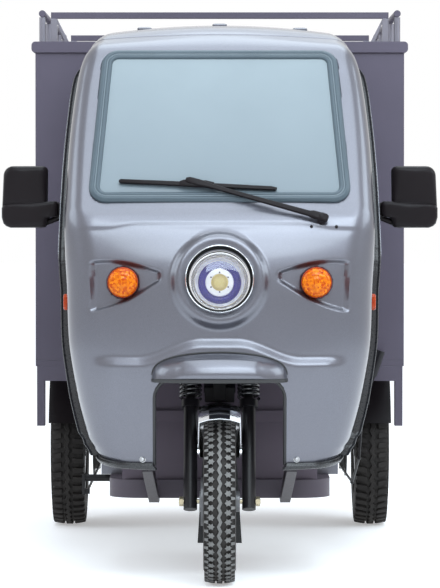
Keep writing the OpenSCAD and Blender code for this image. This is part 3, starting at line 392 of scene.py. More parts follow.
def lathe(profile, place, steps=64):
    # profile of (radius, height) turned about the frame's Z
    verts, faces = [], []
    n = len(profile)
    for i in range(steps):
        a = 2 * math.pi * i / steps
        verts += [place @ Vector((r * math.cos(a), r * math.sin(a), h)) for r, h in profile]
        k = (i + 1) % steps
        faces += [(i * n + j, k * n + j, k * n + j + 1, i * n + j + 1) for j in range(n - 1)]
    return verts, faces


def merge(parts):
    verts, faces = [], []
    for v, f in parts:
        base = len(verts)
        verts += list(v)
        faces += [tuple(i + base for i in face) for face in f]
    return verts, faces


def quads(rows, cols):
    n = cols + 1
    starts = [i * n + j for i in range(rows) for j in range(cols)]
    return [(k, k + 1, k + n + 1, k + n) for k in starts]


def ring(loops):
    # faces between neighbouring loops of equal length
    n = len(loops[0])
    faces = []
    for i in range(len(loops) - 1):
        for j in range(n):
            k = (j + 1) % n
            faces.append((i * n + j, i * n + k, i * n + n + k, i * n + n + j))
    return [p for loop in loops for p in loop], faces


def capped(loops):
    verts, faces = ring(loops)
    n = len(loops[0])
    faces.append(tuple(range(n))[::-1])
    faces.append(tuple(range(len(verts) - n, len(verts))))
    return verts, faces


def arc(cx, cy, r, start, end, steps):
    turns = [math.radians(start + (end - start) * i / steps) for i in range(steps + 1)]
    return [(cx + r * math.cos(a), cy + r * math.sin(a)) for a in turns]


def roundRect(x0, x1, y0, y1, r, steps=5):
    out = []
    corners = ((x1 - r, y0 + r, -90), (x1 - r, y1 - r, 0), (x0 + r, y1 - r, 90), (x0 + r, y0 + r, 180))
    for cx, cy, start in corners:
        out += arc(cx, cy, r, start, start + 90, steps)
    return out


def tube(path, radius, sides=10):
    # round bead along a list of points
    loops = []
    for i, p in enumerate(path):
        ahead = (path[min(i + 1, len(path) - 1)] - path[max(i - 1, 0)]).normalized()
        side = ahead.cross(Vector((0, 0, 1) if abs(ahead.z) < 0.9 else (0, 1, 0))).normalized()
        up = side.cross(ahead)
        loops.append([p + side * x + up * y for x, y in arc(0, 0, radius, 0, 360, sides)[:-1]])
    return capped(loops)


def spread(*stretches):
    # values over (start, end, count) stretches, joined
    out = []
    for a, b, n in stretches:
        out += [a + (b - a) * i / n for i in range(n)]
    return out + [stretches[-1][1]]


def smooth01(a, b, x):
    t = min(max((x - a) / (b - a), 0.0), 1.0)
    return t * t * (3 - 2 * t)


def until(edge, x):
    return 1 - smooth01(*edge, x)


def sided(p, side):
    return Vector((p.x * side, p.y, p.z))


# Cab skin: rows of (y, z, half width, depth, corner radius, arc angle), the same as in the solid
def screenRow(v, half, depth, corner):
    y, z = screenY + v * math.sin(screenAngle), screenZ + v * math.cos(screenAngle)
    return (y, z, half, depth, corner, 1.5)


skinRows = [(-62, 326, 318, 130, 95, 9), (-64, 346, 344, 145, 100, 9), (-68, 364, 364, 162, 106, 9),
            (-78, 406, 383, 185, 112, 9), (-96, 520, 411, 215, 118, 9), (-110, 690, 437, 238, 118, 8),
            (-104, 882, 444, 250, 112, 7), (-76, 1000, 449, 245, 92, 4), screenRow(-30, 450, 238, 62),
            screenRow(40, 449, 230, 56), screenRow(250, 441, 195, 54), screenRow(430, 425, 150, 52),
            screenRow(540, 406, 118, 54), (316, 1606, 394, 110, 64, 5), (380, 1632, 391, 124, 76, 7),
            (500, 1642, 391, 128, 80, 8), (700, 1643, 391, 128, 80, 8), (924, 1638, 390, 128, 80, 8),
            (1150, 1628, 390, 128, 80, 8)]
frontShare, cornerShare, edgeShare = 0.62, 0.86, 0.95  # where the front arc, the corner and the side end
rowStep = 0.01
footRow, topRow = 1, 13  # ends of the front panel
shoulder = {"z": 702, "drop": 53, "dropAt": (50, 235), "soft": (-16, 16), "rise": 16, "foot": (450, 640),
            "end": (300, 375)}
recess = {"tip": 165, "length": 205, "start": (165, 181), "end": (362, 374), "half": 8, "grow": 64, "soft": 6,
          "z": 896, "slope": 29, "depth": 16}
lampSeat = {"rise": 19, "rim": (120, 147), "dish": 4, "dishRim": (98, 116), "reach": 150}
crease = {"rise": 3.0, "low": (1040, 1050), "high": (1064, 1090), "dip": 10, "dipAt": (230, 330),
          "end": (360, 420)}
screenCut = {"sill": 14, "low": 375, "high": 345, "tall": 516, "corner": 48}
archCut = {"half": 188, "top": 602, "corner": 60}
lampHole, turnHole = 88.3, 44.3


def skinRow(s):
    # smooth curve through the rows
    i = min(max(int(math.floor(s)), 1), len(skinRows) - 3)
    t = s - i
    row = []
    for p, q, r, e in zip(*skinRows[i - 1:i + 3]):
        square, cube = 2 * p - 5 * q + 4 * r - e, 3 * q - p - 3 * r + e
        row.append(0.5 * (2 * q + (r - p) * t + square * t * t + cube * t ** 3))
    return row


def across(u, half, depth, corner, angle, out):
    # front arc, corner arc, then straight back, pushed out along the normal
    a = math.radians(angle)
    big = (half - corner * (1 - math.sin(a))) / math.sin(a)
    cx, cy = (big - corner) * math.sin(a), big * (1 - math.cos(a)) + corner * math.cos(a)
    if u <= frontShare:
        q = a * u / frontShare
        return (big + out) * math.sin(q), big - (big + out) * math.cos(q)
    if u <= cornerShare:
        q = a + (math.pi / 2 - a) * (u - frontShare) / (cornerShare - frontShare)
        return cx + (corner + out) * math.sin(q), cy - (corner + out) * math.cos(q)
    return half + out, cy + (depth - cy) * (u - cornerShare) / (1 - cornerShare)


def fromLamp(x, z):
    return math.hypot(x, (z - lampZ) / math.cos(lampTilt))


def pressed(x, z):
    # shoulder over the hood, drop-shaped lamp recesses, lamp seat, crease under the screen
    ax = abs(x)
    line = shoulder["z"] - shoulder["drop"] * smooth01(*shoulder["dropAt"], ax)
    step = shoulder["rise"] * until(shoulder["soft"], z - line)
    step *= smooth01(*shoulder["foot"], z) * until(shoulder["end"], ax)
    q = min(max((ax - recess["tip"]) / recess["length"], 0), 1)
    half = recess["half"] + recess["grow"] * math.sin(q * math.pi / 2)
    rim = (half - recess["soft"], half + recess["soft"])
    hollow = recess["depth"] * until(rim, abs(z - recess["z"] + recess["slope"] * q))
    hollow *= smooth01(*recess["start"], ax) * until(recess["end"], ax)
    fold = crease["rise"] * smooth01(*crease["low"], z + crease["dip"] * smooth01(*crease["dipAt"], ax))
    fold *= until(crease["high"], z) * until(crease["end"], ax)
    base = step - hollow + fold
    radius = fromLamp(x, z)
    seat = lampSeat["rise"] * until(lampSeat["rim"], radius)
    seat -= lampSeat["dish"] * until(lampSeat["dishRim"], radius)
    return max(base, seat) if radius < lampSeat["reach"] else base


def skinPoint(s, u, out=0.0, press=True):
    # s counts the rows, u runs from the middle to the rear edge
    below, above, row = skinRow(s - rowStep), skinRow(s + rowStep), skinRow(s)
    y, z, form = row[0], row[1], row[2:]
    ty, tz = above[0] - below[0], above[1] - below[1]
    n = math.hypot(ty, tz)
    side = 1 if u >= 0 else -1
    if press:
        out += pressed(across(abs(u), *form, 0)[0] * side, z)
    x, back = across(abs(u), *form, out)
    return fromAxle(x * side, y + tz / n * back, z - ty / n * back)


def bareSkin(s, u, out=0.0):
    return skinPoint(s, u, out, False)


def bothSides(half):
    return [-u for u in half[:0:-1]] + half


def roundedSide(px, py, low, high, tall, corner):
    # distance outside a rounded trapezoid standing on py = 0
    half = low + (high - low) * min(max(py / tall, 0), 1)
    qx, qy = abs(px) - half + corner, abs(py - tall / 2) - tall / 2 + corner
    return math.hypot(max(qx, 0), max(qy, 0)) + min(max(qx, qy), 0) - corner


def panelHole(p):
    # distance outside every cut in the front panel
    x, y, z = p.x * 1000, (p.y - frontAxleY) * 1000, p.z * 1000
    v = (z - screenZ) * math.cos(screenAngle) + (y - screenY) * math.sin(screenAngle) - screenCut["sill"]
    screen = roundedSide(x, v, screenCut["low"], screenCut["high"], screenCut["tall"], screenCut["corner"])
    turn = math.hypot(abs(x) - turnX, z - turnZ) - turnHole
    arch = -1
    if z > archCut["corner"]:
        arch = roundedSide(x, z, archCut["half"], archCut["half"], archCut["top"], archCut["corner"])
    return min(screen, fromLamp(x, z) - lampHole, turn, arch)


# Front panel and roof
panelGrid = {"rows": ((footRow, 1.5, 10), (1.5, 2, 6), (2, 4, 40), (4, 7, 120), (7, 9, 26), (9, topRow, 60)),
             "half": ((0, frontShare, 66), (frontShare, cornerShare, 22), (cornerShare, edgeShare, 4),
                      (edgeShare, 1, 8)),
             "slide": 9, "endSlide": 5, "probe": (0.004, 0.001), "weight": (0.01, 0.005)}
roofGrid = {"rows": (13.008, 17, 44),
            "half": ((0, frontShare, 28), (frontShare, cornerShare, 14), (cornerShare, 1, 4))}


def slideToCut(s, u):
    # a point at the rim of a hole moves on to the cut line
    ds, du = panelGrid["probe"]
    weightS, weightU = panelGrid["weight"]
    for turn in range(4):
        gap = panelHole(skinPoint(s, u))
        slopeS = (panelHole(skinPoint(s + ds, u)) - gap) / ds
        slopeU = (panelHole(skinPoint(s, u + du)) - gap) / du
        size = (slopeS * weightS) ** 2 + (slopeU * weightU) ** 2
        if size < 1e-9:
            break
        s -= gap * slopeS * weightS ** 2 / size
        u -= gap * slopeU * weightU ** 2 / size
    return skinPoint(max(s, footRow), min(max(u, -1), 1))


def panelMesh():
    ss, us = spread(*panelGrid["rows"]), bothSides(spread(*panelGrid["half"]))
    n = len(us)
    places = [(s, u) for s in ss for u in us]
    points = [skinPoint(s, u) for s, u in places]
    gaps = [panelHole(p) for p in points]
    faces = [quad for quad in quads(len(ss) - 1, n - 1) if sum(gaps[k] for k in quad) > 0]
    uses = {}
    for quad in faces:
        for k in quad:
            uses[k] = uses.get(k, 0) + 1
    for k, count in uses.items():
        reach = panelGrid["endSlide" if k // n in (0, len(ss) - 1) else "slide"]
        if count < 4 and abs(gaps[k]) <= reach:
            points[k] = slideToCut(*places[k])
    used = sorted(uses)
    index = {k: i for i, k in enumerate(used)}
    return [points[k] for k in used], [tuple(index[k] for k in quad) for quad in faces]


def roofMesh():
    ss, us = spread(roofGrid["rows"]), bothSides(spread(*roofGrid["half"]))
    return [bareSkin(s, u) for s in ss for u in us], quads(len(ss) - 1, len(us) - 1)


thicken(addMesh("frontPanel", *panelMesh(), "bodyPaint", "chassis", "front_fairing", 50))
thicken(addMesh("roofSkin", *roofMesh(), "bodyPaint", "chassis", "cab_roof"))
print("front panel and roof")

# Strips along the panel's edge: sections of (outwards, backwards) and below it of (outwards, downwards)
edgeStrip = {"rows": (footRow, topRow, 120), "flare": 1,
             "section": [(-10, 14), (-10, -4), (-3, -10), (2, -13), (7, -12), (9, -8), (10.5, -7), (12, -9),
                         (15, -10), (17, -7), (17, 11), (14, 14)]}
lowStrip = {"across": (0.453, 0.985, 40), "row": footRow, "above": 1.05,
            "section": [(-10, 14), (-10, -3), (-3, -8), (3, -9), (7, -6), (8.5, -2), (10, -1), (12, -3),
                        (15, -3), (17, 0), (17, 12), (13, 16)]}
doorPost = {"rows": (8, 12.5, 60), "flare": 0,
            "section": [(2, 14.3), (13, 14.3), (13, 27), (22, 27), (22, 14.3), (27, 14.3), (27, 38), (2, 38)]}
roll = {"rise": 7, "flare": 9, "flareRows": (3, 6), "endRows": (12.4, 13), "footRows": (1, 1.5),
        "lip": (4, 12)}


def rolled(s):
    # flare of the rolled edge, wider towards the bottom
    side = (roll["rise"] + roll["flare"] * until(roll["flareRows"], s)) * until(roll["endRows"], s)
    return max(side, roll["rise"] * until(roll["footRows"], s))


def edgePoint(s, out, back, side):
    p, q = bareSkin(s, 1), bareSkin(s, edgeShare)
    return sided(p + Vector((out / 1000, 0, 0)) + (p - q).normalized() * back / 1000, side)


def sideStrips(spec):
    parts = []
    for side in (-1, 1):
        loops = []
        for s in spread(spec["rows"]):
            flare = spec["flare"] * rolled(s)
            loops.append([edgePoint(s, out + flare * smooth01(*roll["lip"], out), back, side)
                          for out, back in spec["section"][::-side]])
        parts.append(capped(loops))
    return parts


def lowerStrips(spec):
    # along the panel's bottom edge, from the wheel cut-out to the corner
    parts = []
    for side in (-1, 1):
        loops = []
        for u in spread(spec["across"]):
            loop = []
            for out, down in spec["section"][::side]:
                p, q = bareSkin(spec["row"], u, out), bareSkin(spec["above"], u, out)
                loop.append(sided(p + (p - q).normalized() * down / 1000, side))
            loops.append(loop)
        parts.append(capped(loops))
    return parts


edgeParts = sideStrips(edgeStrip) + lowerStrips(lowStrip)
addMesh("edgeRubber", *merge(edgeParts), "edgeRubber", "chassis", "fairing_trim")
addMesh("doorChannels", *merge(sideStrips(doorPost)), "bodyPaint", "chassis", "door_posts", 30)


halvings = 24


def halved(low, high, steps, below):
    # last value for which the test still holds
    for step in range(steps):
        mid = (low + high) / 2
        if below(mid):
            low = mid
        else:
            high = mid
    return low


def skinAt(x, z):
    # where the panel's face crosses this x and height
    u = 0.0
    for turn in range(6):
        s = halved(footRow, topRow, halvings, lambda mid: skinPoint(mid, u).z * 1000 < z)
        u = halved(0.0, 1.0, halvings, lambda mid: skinPoint(s, mid).x * 1000 < abs(x))
    return sided(skinPoint(s, u), math.copysign(1, x))


# Hood over the front wheel, its lip and the edging of the wheel cut-out
hood = {"half": 194, "y": -96, "z": 600, "rise": 76, "reach": 106, "sweep": 86, "blunt": (0.62, 0.75),
        "panel": 5, "panelEnd": (108, 126), "panelFoot": (0.06, 0.16), "panelTop": (0.80, 1.0),
        "rows": 40, "cols": 22, "halvings": 18, "beadRadius": 0.0028, "beadShift": (0, -0.001, 0.001),
        "centre": 0.05,
        "lip": ((0.0025, 0.001), (0.003, -0.007), (0.001, -0.0095), (-0.004, -0.0095), (-0.006, -0.007),
                (-0.006, 0.001))}
archEdge = {"foot": 344, "clear": 348, "radius": 0.0052, "back": 0.002}


def hoodPoint(a, b):
    bluntA, bluntB = hood["blunt"]
    k = max(math.cos(a), 0) ** bluntA
    x = hood["half"] * math.sin(a)
    lift = hood["panel"] * until(hood["panelEnd"], abs(x))
    lift *= smooth01(*hood["panelFoot"], b) * until(hood["panelTop"], b)
    y = hood["y"] - (hood["reach"] + lift) * k * max(math.cos(b), 0) ** bluntB
    return fromAxle(x, y, hood["z"] + (hood["rise"] + lift) * k * math.sin(b))


def beforePanel(p):
    return p.y < skinAt(p.x * 1000, p.z * 1000).y


def hoodMesh():
    # each rib ends where it meets the panel
    verts, back, front = [], [], []
    cols = hood["cols"]
    for turn in spread((-hood["sweep"], hood["sweep"], hood["rows"])):
        a = math.radians(turn)
        end = halved(0.0, math.pi / 2, hood["halvings"], lambda mid: beforePanel(hoodPoint(a, mid)))
        rib = [hoodPoint(a, end * j / cols) for j in range(cols + 1)]
        verts += rib
        front.append(rib[0])
        back.append(rib[-1] + Vector(hood["beadShift"]))
    return verts, [(a, d, c, b) for a, b, c, d in quads(hood["rows"], cols)], back, front


def hoodLip(front):
    loops = []
    for p in front:
        out = Vector((p.x, p.y - frontAxleY + hood["centre"], 0)).normalized()
        loops.append([p + out * r + Vector((0, 0, h)) for r, h in hood["lip"]])
    return capped(loops)


def archPoints():
    half, top, corner = archCut["half"], archCut["top"], archCut["corner"]
    inner = half - corner
    leg = [(half, z) for z in spread((archEdge["foot"], top - corner, 24))]
    leg += arc(inner, top - corner, corner, 0, 90, 6)[1:]
    flat = [(x, top) for x in spread((inner, -inner, 10))[1:-1]]
    path = leg + flat + [(-x, z) for x, z in leg[::-1]]
    return [skinAt(x, max(z, archEdge["clear"])) + Vector((0, archEdge["back"], 0)) for x, z in path]


hoodVerts, hoodFaces, hoodBack, hoodFront = hoodMesh()
thicken(addMesh("wheelHood", hoodVerts, hoodFaces, "bodyPaint", "chassis", "fender_hood", 60))
archParts = [hoodLip(hoodFront), tube(hoodBack, hood["beadRadius"], 8),
             tube(archPoints(), archEdge["radius"])]
addMesh("archRubber", *merge(archParts), "blackRubber", "chassis", sharp=50)

# Bolts of the panel and small pads on the roof crown
panelBolt = {"x": 222, "z": 364,
             "profile": [(0.0096, -0.002), (0.0096, 0.0006), (0.0092, 0.0016), (0.0064, 0.0018),
                         (0.0062, 0.0036), (0.0052, 0.0058), (0.003, 0.0070), (0.0, 0.0072)]}
roofPad = {"row": 14.8, "spots": ((-1, 0.435), (1, 0.0), (1, 0.465)), "half": (0.022, 0.032), "corner": 0.006,
           "layers": ((-0.004, 0.0), (0.002, 0.0), (0.0045, 0.003), (0.0055, 0.008))}


def crownPad(side, u):
    spot = sided(bareSkin(roofPad["row"], u), side)
    loops = []
    for rise, inset in roofPad["layers"]:
        x, y = (half - inset for half in roofPad["half"])
        loops.append([spot + Vector((a, b, rise)) for a, b in roundRect(-x, x, -y, y, roofPad["corner"], 4)])
    return capped(loops)


boltSpots = [skinAt(side * panelBolt["x"], panelBolt["z"]) for side in (1, -1)]
boltParts = [lathe(panelBolt["profile"], leaning(spot, math.pi / 2), 24) for spot in boltSpots]
addMesh("panelBolts", *merge(boltParts), "zinc", "chassis", sharp=50)
addMesh("roofPads", *merge([crownPad(side, u) for side, u in roofPad["spots"]]), "bodyPaint", "chassis")
print("edge strips and hood")

# Windscreen seal: sections of (outwards from the cut, height over the glass)
sealSection = [(4, -14), (4, 2.2), (3, 4.2), (0.5, 6), (-1.4, 8.2), (-4, 10), (-8, 10.2), (-11, 9),
               (-12, 7.4), (-15, 7.4), (-16, 9), (-19, 10), (-23, 9.4), (-26, 7.4), (-28, 3.4), (-28, -14)]
fillerSection = [(-11.8, 7), (-11.8, 8.6), (-13.5, 9.5), (-15.2, 8.6), (-15.2, 7)]


def onScreen(x, y, h):
    return screenFrame @ Vector((x / 1000, y / 1000, h / 1000))


def screenLoop(section):
    corner, tall = screenCut["corner"], screenCut["tall"]
    lowX, highX = screenCut["low"] - corner, screenCut["high"] - corner
    lowY, highY = screenCut["sill"] + corner, screenCut["sill"] + tall - corner
    lean = math.degrees(math.atan2(lowX - highX, highY - lowY))
    turns = ((lowX, lowY, -90, lean), (highX, highY, lean, 90), (-highX, highY, 90, 180 - lean),
             (-lowX, lowY, 180 - lean, 270))
    loops = []
    for cx, cy, start, end in turns:
        rims = [arc(cx, cy, corner + out, start, end, 14) for out, h in section]
        loops += [[onScreen(x, y, h) for (x, y), (out, h) in zip(spots, section)] for spots in zip(*rims)]
    return ring(loops + [loops[0]])


addMesh("screenSeal", *screenLoop(sealSection), "screenRubber", "chassis", "windscreen_gasket", 60)
addMesh("sealFiller", *screenLoop(fillerSection), "fillerRubber", "chassis", sharp=60)

# Wiper in the plane of the screen: bars through (x, y, half width, low, high) stations
wiper = {"bars": [
             [(-288, 74, 3.0, 3.2, 11), (163, 49, 3.0, 3.2, 11)],
             [(-292, 74.2, 3.5, 10, 14), (-286, 74, 6, 10, 16), (-120, 64.7, 7, 10, 17),
              (150, 49.7, 6, 10, 16), (166, 48.8, 3.5, 10, 14)],
             [(-116, 64.5, 7, 12, 19), (-104, 64, 10.5, 12, 23), (-40, 60.4, 11, 12, 24),
              (-16, 59, 8, 12, 20)],
             [(-98, 74, 6, 16, 25), (-88, 71, 10, 16, 28), (-60, 62, 10, 16, 29), (-20, 49.5, 6.5, 17, 27),
              (120, 4, 7, 17, 26), (258, -40.5, 8.5, 16, 26), (268, -43.5, 11, 14, 29),
              (306, -56, 12, 13, 29), (312, -58, 8, 14, 26)]],
         "pivot": (0.294, -0.052, 0), "softness": 0.35,
         "pivotCap": [(0.013, -0.010), (0.013, 0.012), (0.0125, 0.026), (0.009, 0.026), (0.0085, 0.029),
                      (0.006, 0.0305), (0.0, 0.031)],
         "plugs": ((265, 1036), (337, 1036)), "plugTilt": math.radians(72),
         "plugCap": [(0.005, -0.001), (0.0046, 0.0016), (0.003, 0.0028), (0.0, 0.003)]}


def screenBar(stations):
    along = (Vector(stations[-1][:2]) - Vector(stations[0][:2])).normalized()
    loops = []
    for x, y, half, low, high in stations:
        flat = roundRect(-half, half, low, high, min(half, high - low) * wiper["softness"], 3)
        loops.append([onScreen(x - along.y * a, y + along.x * a, h) for a, h in flat])
    return capped(loops)


wiperParts = [screenBar(stations) for stations in wiper["bars"]]
wiperParts.append(lathe(wiper["pivotCap"], screenFrame @ Matrix.Translation(wiper["pivot"]), 24))
for x, z in wiper["plugs"]:
    wiperParts.append(lathe(wiper["plugCap"], leaning(skinAt(x, z), wiper["plugTilt"]), 16))
addMesh("wiperArm", *merge(wiperParts), "blackPlastic", "chassis", "wiper")

# Headlamp: profiles of (radius, height) about the lamp's axis
headlamp = [
    {"name": "lampBezel", "finish": "chrome", "node": "headlamp_bezel", "steps": 96, "sharp": 50,
     "profile": [(0.084, 0.004), (0.088, 0.004), (0.088, 0.0183), (0.0990, 0.0183), (0.1002, 0.021),
                 (0.1004, 0.027), (0.0996, 0.031), (0.0984, 0.0335), (0.0968, 0.0350), (0.0958, 0.0342),
                 (0.0953, 0.0325), (0.0952, 0.0305)]},
    {"name": "lampTube", "finish": "lampShade", "steps": 96, "sharp": 50,
     "profile": [(0.0952, 0.0310), (0.0946, 0.0240), (0.0880, 0.0185), (0.0876, -0.066), (0.072, -0.070),
                 (0.072, -0.064), (0.0850, -0.062)]},
    {"name": "lampCover", "finish": "lampGlass", "node": "headlamp_lens", "steps": 64, "sharp": 50,
     "profile": [(0.0, -0.018), (0.030, -0.0187), (0.055, -0.0208), (0.072, -0.0240), (0.0815, -0.0280),
                 (0.0827, -0.0300), (0.0827, -0.0330), (0.079, -0.0310), (0.071, -0.0275), (0.055, -0.0243),
                 (0.030, -0.0220), (0.0, -0.0214)]},
    {"name": "lampAnnulus", "finish": "lampDiffuser", "steps": 64, "sharp": 50,
     "profile": [(0.0715, -0.0380), (0.0640, -0.0420), (0.0625, -0.0440)]},
    {"name": "lampHalo", "finish": "haloRing", "steps": 64, "sharp": 60,
     "profile": [(0.0625, -0.044), (0.0615, -0.036), (0.058, -0.0335), (0.052, -0.0325), (0.046, -0.0335),
                 (0.0425, -0.036), (0.0415, -0.044)]},
    {"name": "lampCore", "finish": "lampDiffuser", "steps": 64, "sharp": 50,
     "profile": [(0.0415, -0.044), (0.040, -0.038), (0.032, -0.036), (0.0255, -0.0355), (0.0245, -0.042)]},
    {"name": "lampEmitterDome", "finish": "lampEmitter", "steps": 48, "sharp": 60,
     "profile": [(0.0245, -0.042), (0.0235, -0.036), (0.016, -0.0315), (0.008, -0.030), (0.0, -0.0296)]},
]
lampBowl = {"facets": 44, "swing": 0.0016,
            "rim": [(0.0868, -0.034), (0.0868, -0.0275), (0.0850, -0.0262), (0.0830, -0.0275),
                    (0.0826, -0.0335)],
            "rows": [(0.0826, -0.0335), (0.0800, -0.0362), (0.0776, -0.0356), (0.0750, -0.0378),
                     (0.0715, -0.0386)]}
lampCell = {"count": 6, "radius": 0.0285, "profile": [(0.0024, -0.0365), (0.0022, -0.0345), (0.0, -0.034)]}


def facetRing(spec):
    # small mirrors that tilt to and fro round the bowl
    loops = []
    last = len(spec["rows"]) - 1
    for j, (radius, height) in enumerate(spec["rows"]):
        swing = spec["swing"] if 0 < j < last else 0.0
        loop = []
        for i, (x, y) in enumerate(arc(0, 0, radius, 0, 360, spec["facets"])[:-1]):
            loop.append(lampFrame @ Vector((x, y, height + swing * ((i + j) % 2))))
        loops.append(loop)
    return ring(loops)


for piece in headlamp:
    addMesh(piece["name"], *lathe(piece["profile"], lampFrame, piece["steps"]), piece["finish"], "chassis",
            piece.get("node", ""), piece["sharp"])
bowlParts = [lathe(lampBowl["rim"], lampFrame), facetRing(lampBowl)]
addMesh("lampBowl", *merge(bowlParts), "silverRing", "chassis", sharp=12)
cellSpots = arc(0, 0, lampCell["radius"], 90, 450, lampCell["count"])[:-1]
cellParts = [lathe(lampCell["profile"], lampFrame @ Matrix.Translation((x, y, 0)), 12) for x, y in cellSpots]
addMesh("lampCells", *merge(cellParts), "darkSteel", "chassis", sharp=60)

# Turn lamps and side reflectors
turnLamp = {"rim": [(0.039, -0.062), (0.039, -0.050), (0.044, -0.050), (0.044, 0.003), (0.0434, 0.0065),
                    (0.042, 0.0085)],
            "lens": [(0.0419, 0.0060), (0.0405, 0.0084), (0.0395, 0.0100), (0.036, 0.0135), (0.033, 0.0150),
                     (0.0315, 0.0146), (0.030, 0.0160), (0.024, 0.0185), (0.0195, 0.0195), (0.018, 0.0190),
                     (0.0165, 0.0200), (0.008, 0.0215), (0.0, 0.0220)]}
reflector = {"row": 5.818, "across": 0.9, "half": 15, "tall": 47, "corner": 11,
             "layers": ((0.0003, 0), (0.008, 0), (0.0105, 1.2), (0.0118, 3.5), (0.0122, 6.5))}


def turnPair(key):
    return merge([lathe(turnLamp[key], leaning(fromAxle(side * turnX, turnY, turnZ), math.pi / 2), 48)
                  for side in (-1, 1)])


def sideReflectors():
    parts = []
    spot = bareSkin(reflector["row"], reflector["across"])
    half, tall, corner = reflector["half"], reflector["tall"], reflector["corner"]
    for side in (-1, 1):
        loops = []
        for out, inset in reflector["layers"]:
            flat = roundRect(-half + inset, half - inset, -tall + inset, -inset, corner - inset, 6)
            loops.append([sided(spot + Vector((out, a / 1000, b / 1000)), side) for a, b in flat[::side]])
        parts.append(capped(loops))
    return merge(parts)


addMesh("sideReflectors", *sideReflectors(), "sideAmber", "chassis", sharp=50)
addMesh("turnRims", *turnPair("rim"), "sideAmber", "chassis", sharp=50)
addMesh("turnLenses", *turnPair("lens"), "amberLens", "chassis", "amber_lamps", 50)
print("lamps")

# Mirrors: outlines of (x, z), lofted through (inset, y) layers
mirrorTop = arc(525, 1198, 16, 180, 90, 6) + arc(612, 1185, 29, 90, 0, 6)
mirror = {"upper": [(511, 1092)] + mirrorTop + [(645, 1092)],
          "upperLayers": [(3, -940), (0, -943), (0, -962), (2, -971), (6, -977), (12, -980.5), (22, -983),
                          (36, -984)],
          "lower": [(477, 1072), (477, 1100), (479, 1106), (485, 1110), (560, 1108), (630, 1102), (641, 1098),
                    (646, 1090), (646, 1062), (641, 1044), (633, 1036), (620, 1031), (530, 1031), (517, 1033),
                    (511, 1040), (509, 1054), (505, 1061), (497, 1063), (484, 1063), (479, 1066)],
          "lowerLayers": [(3, -941), (0, -945), (0, -972), (1.5, -981), (4, -986), (8, -989), (15, -990.5),
                          (24, -991)],
          "foot": (9.46, 27, 26), "armHalf": (12, 22), "armCorner": 6, "armSteps": (0.7, 4),
          "armEnds": (482, 486),
          "stay": ((480, -962, 1060), (516, -962, 1046)), "stayFoot": 1.066, "stayGap": 0.001,
          "stayRadius": 0.0085}


def shrunk(outline, inset):
    # outline drawn in towards its middle
    cx = sum(x for x, z in outline) / len(outline)
    cz = sum(z for x, z in outline) / len(outline)
    out = []
    for x, z in outline:
        keep = 1 - inset / math.hypot(x - cx, z - cz)
        out.append((cx + (x - cx) * keep, cz + (z - cz) * keep))
    return out


def mirrorShell(key, side):
    loops = []
    for inset, y in mirror[key + "Layers"]:
        flat = shrunk(mirror[key][::-1], inset)
        loops.append([Vector((side * x / 1000, y / 1000, z / 1000)) for x, z in flat[::side]])
    return capped(loops)


def mirrorArm(side):
    foot = edgePoint(*mirror["foot"], 1)
    halfY, halfZ = mirror["armHalf"]
    flat = roundRect(-halfY, halfY, -halfZ, halfZ, mirror["armCorner"], 3)[::side]
    ends = [foot.x + step / 1000 for step in mirror["armSteps"]] + [x / 1000 for x in mirror["armEnds"]]
    arm = [[Vector((side * x, foot.y + a / 1000, foot.z + b / 1000)) for a, b in flat] for x in ends]
    stay = [Vector((foot.x + mirror["stayGap"], foot.y, mirror["stayFoot"]))]
    stay += [Vector(p) / 1000 for p in mirror["stay"]]
    return [capped(arm), tube([sided(p, side) for p in stay], mirror["stayRadius"], 12)]


mirrorParts = []
for side in (-1, 1):
    mirrorParts += [mirrorShell("upper", side), mirrorShell("lower", side)] + mirrorArm(side)
addMesh("mirrorShells", *merge(mirrorParts), "blackPlastic", "chassis", "mirror_housings", 50)
print("mirrors")

# Seat pads: half width, half depth and height in millimetres, in layers of (inset, share of height, rise)
pads = [{"name": "seatPad", "node": "seat_cushion", "size": (346, 161, 80), "cap": 0.008,
         "place": Matrix.Translation((0, -0.535, 0.6405))},
        {"name": "backPad", "node": "seat_backrest", "size": (338, 182, 62), "cap": 0.008,
         "place": leaning((0, -0.2945, 0.950), math.pi / 2)}]
padLayers = ((10, 0, 0), (5, 0, 4), (3, 0, 14), (2, 0.5, 0),
             (4, 1, -22), (10, 1, -12), (20, 1, -6), (40, 1, -3))
padShape = {"drawIn": 5, "power": 6, "corner": 36, "leastCorner": 10}
stuffing = {"voxel": 0.006, "held": 0.010, "quality": 5, "mass": 0.3, "stretch": 18, "bend": 2,
            "pressure": 4, "frames": 20}


def padForm(size, place):
    # rounded slab whose sides draw in between the corners, flat underneath
    w, d, h = size
    drawIn, power = padShape["drawIn"], padShape["power"]
    loops = []
    for inset, share, rise in padLayers:
        z = share * h + rise
        corner = max(padShape["corner"] - inset, padShape["leastCorner"])
        loop = []
        for x, y in roundRect(-w + inset, w - inset, -d + inset, d - inset, corner, 8):
            pull = drawIn * (1 - (x / w) ** 2) * (abs(y) / d) ** power
            draw = drawIn * (1 - (y / d) ** 2) * (abs(x) / w) ** power
            spot = (x - math.copysign(draw, x), y - math.copysign(pull, y), z)
            loop.append(place @ Vector([c / 1000 for c in spot]))
        loops.append(loop)
    return capped(loops)


def evaluated(obj):
    return obj.evaluated_get(bpy.context.evaluated_depsgraph_get())


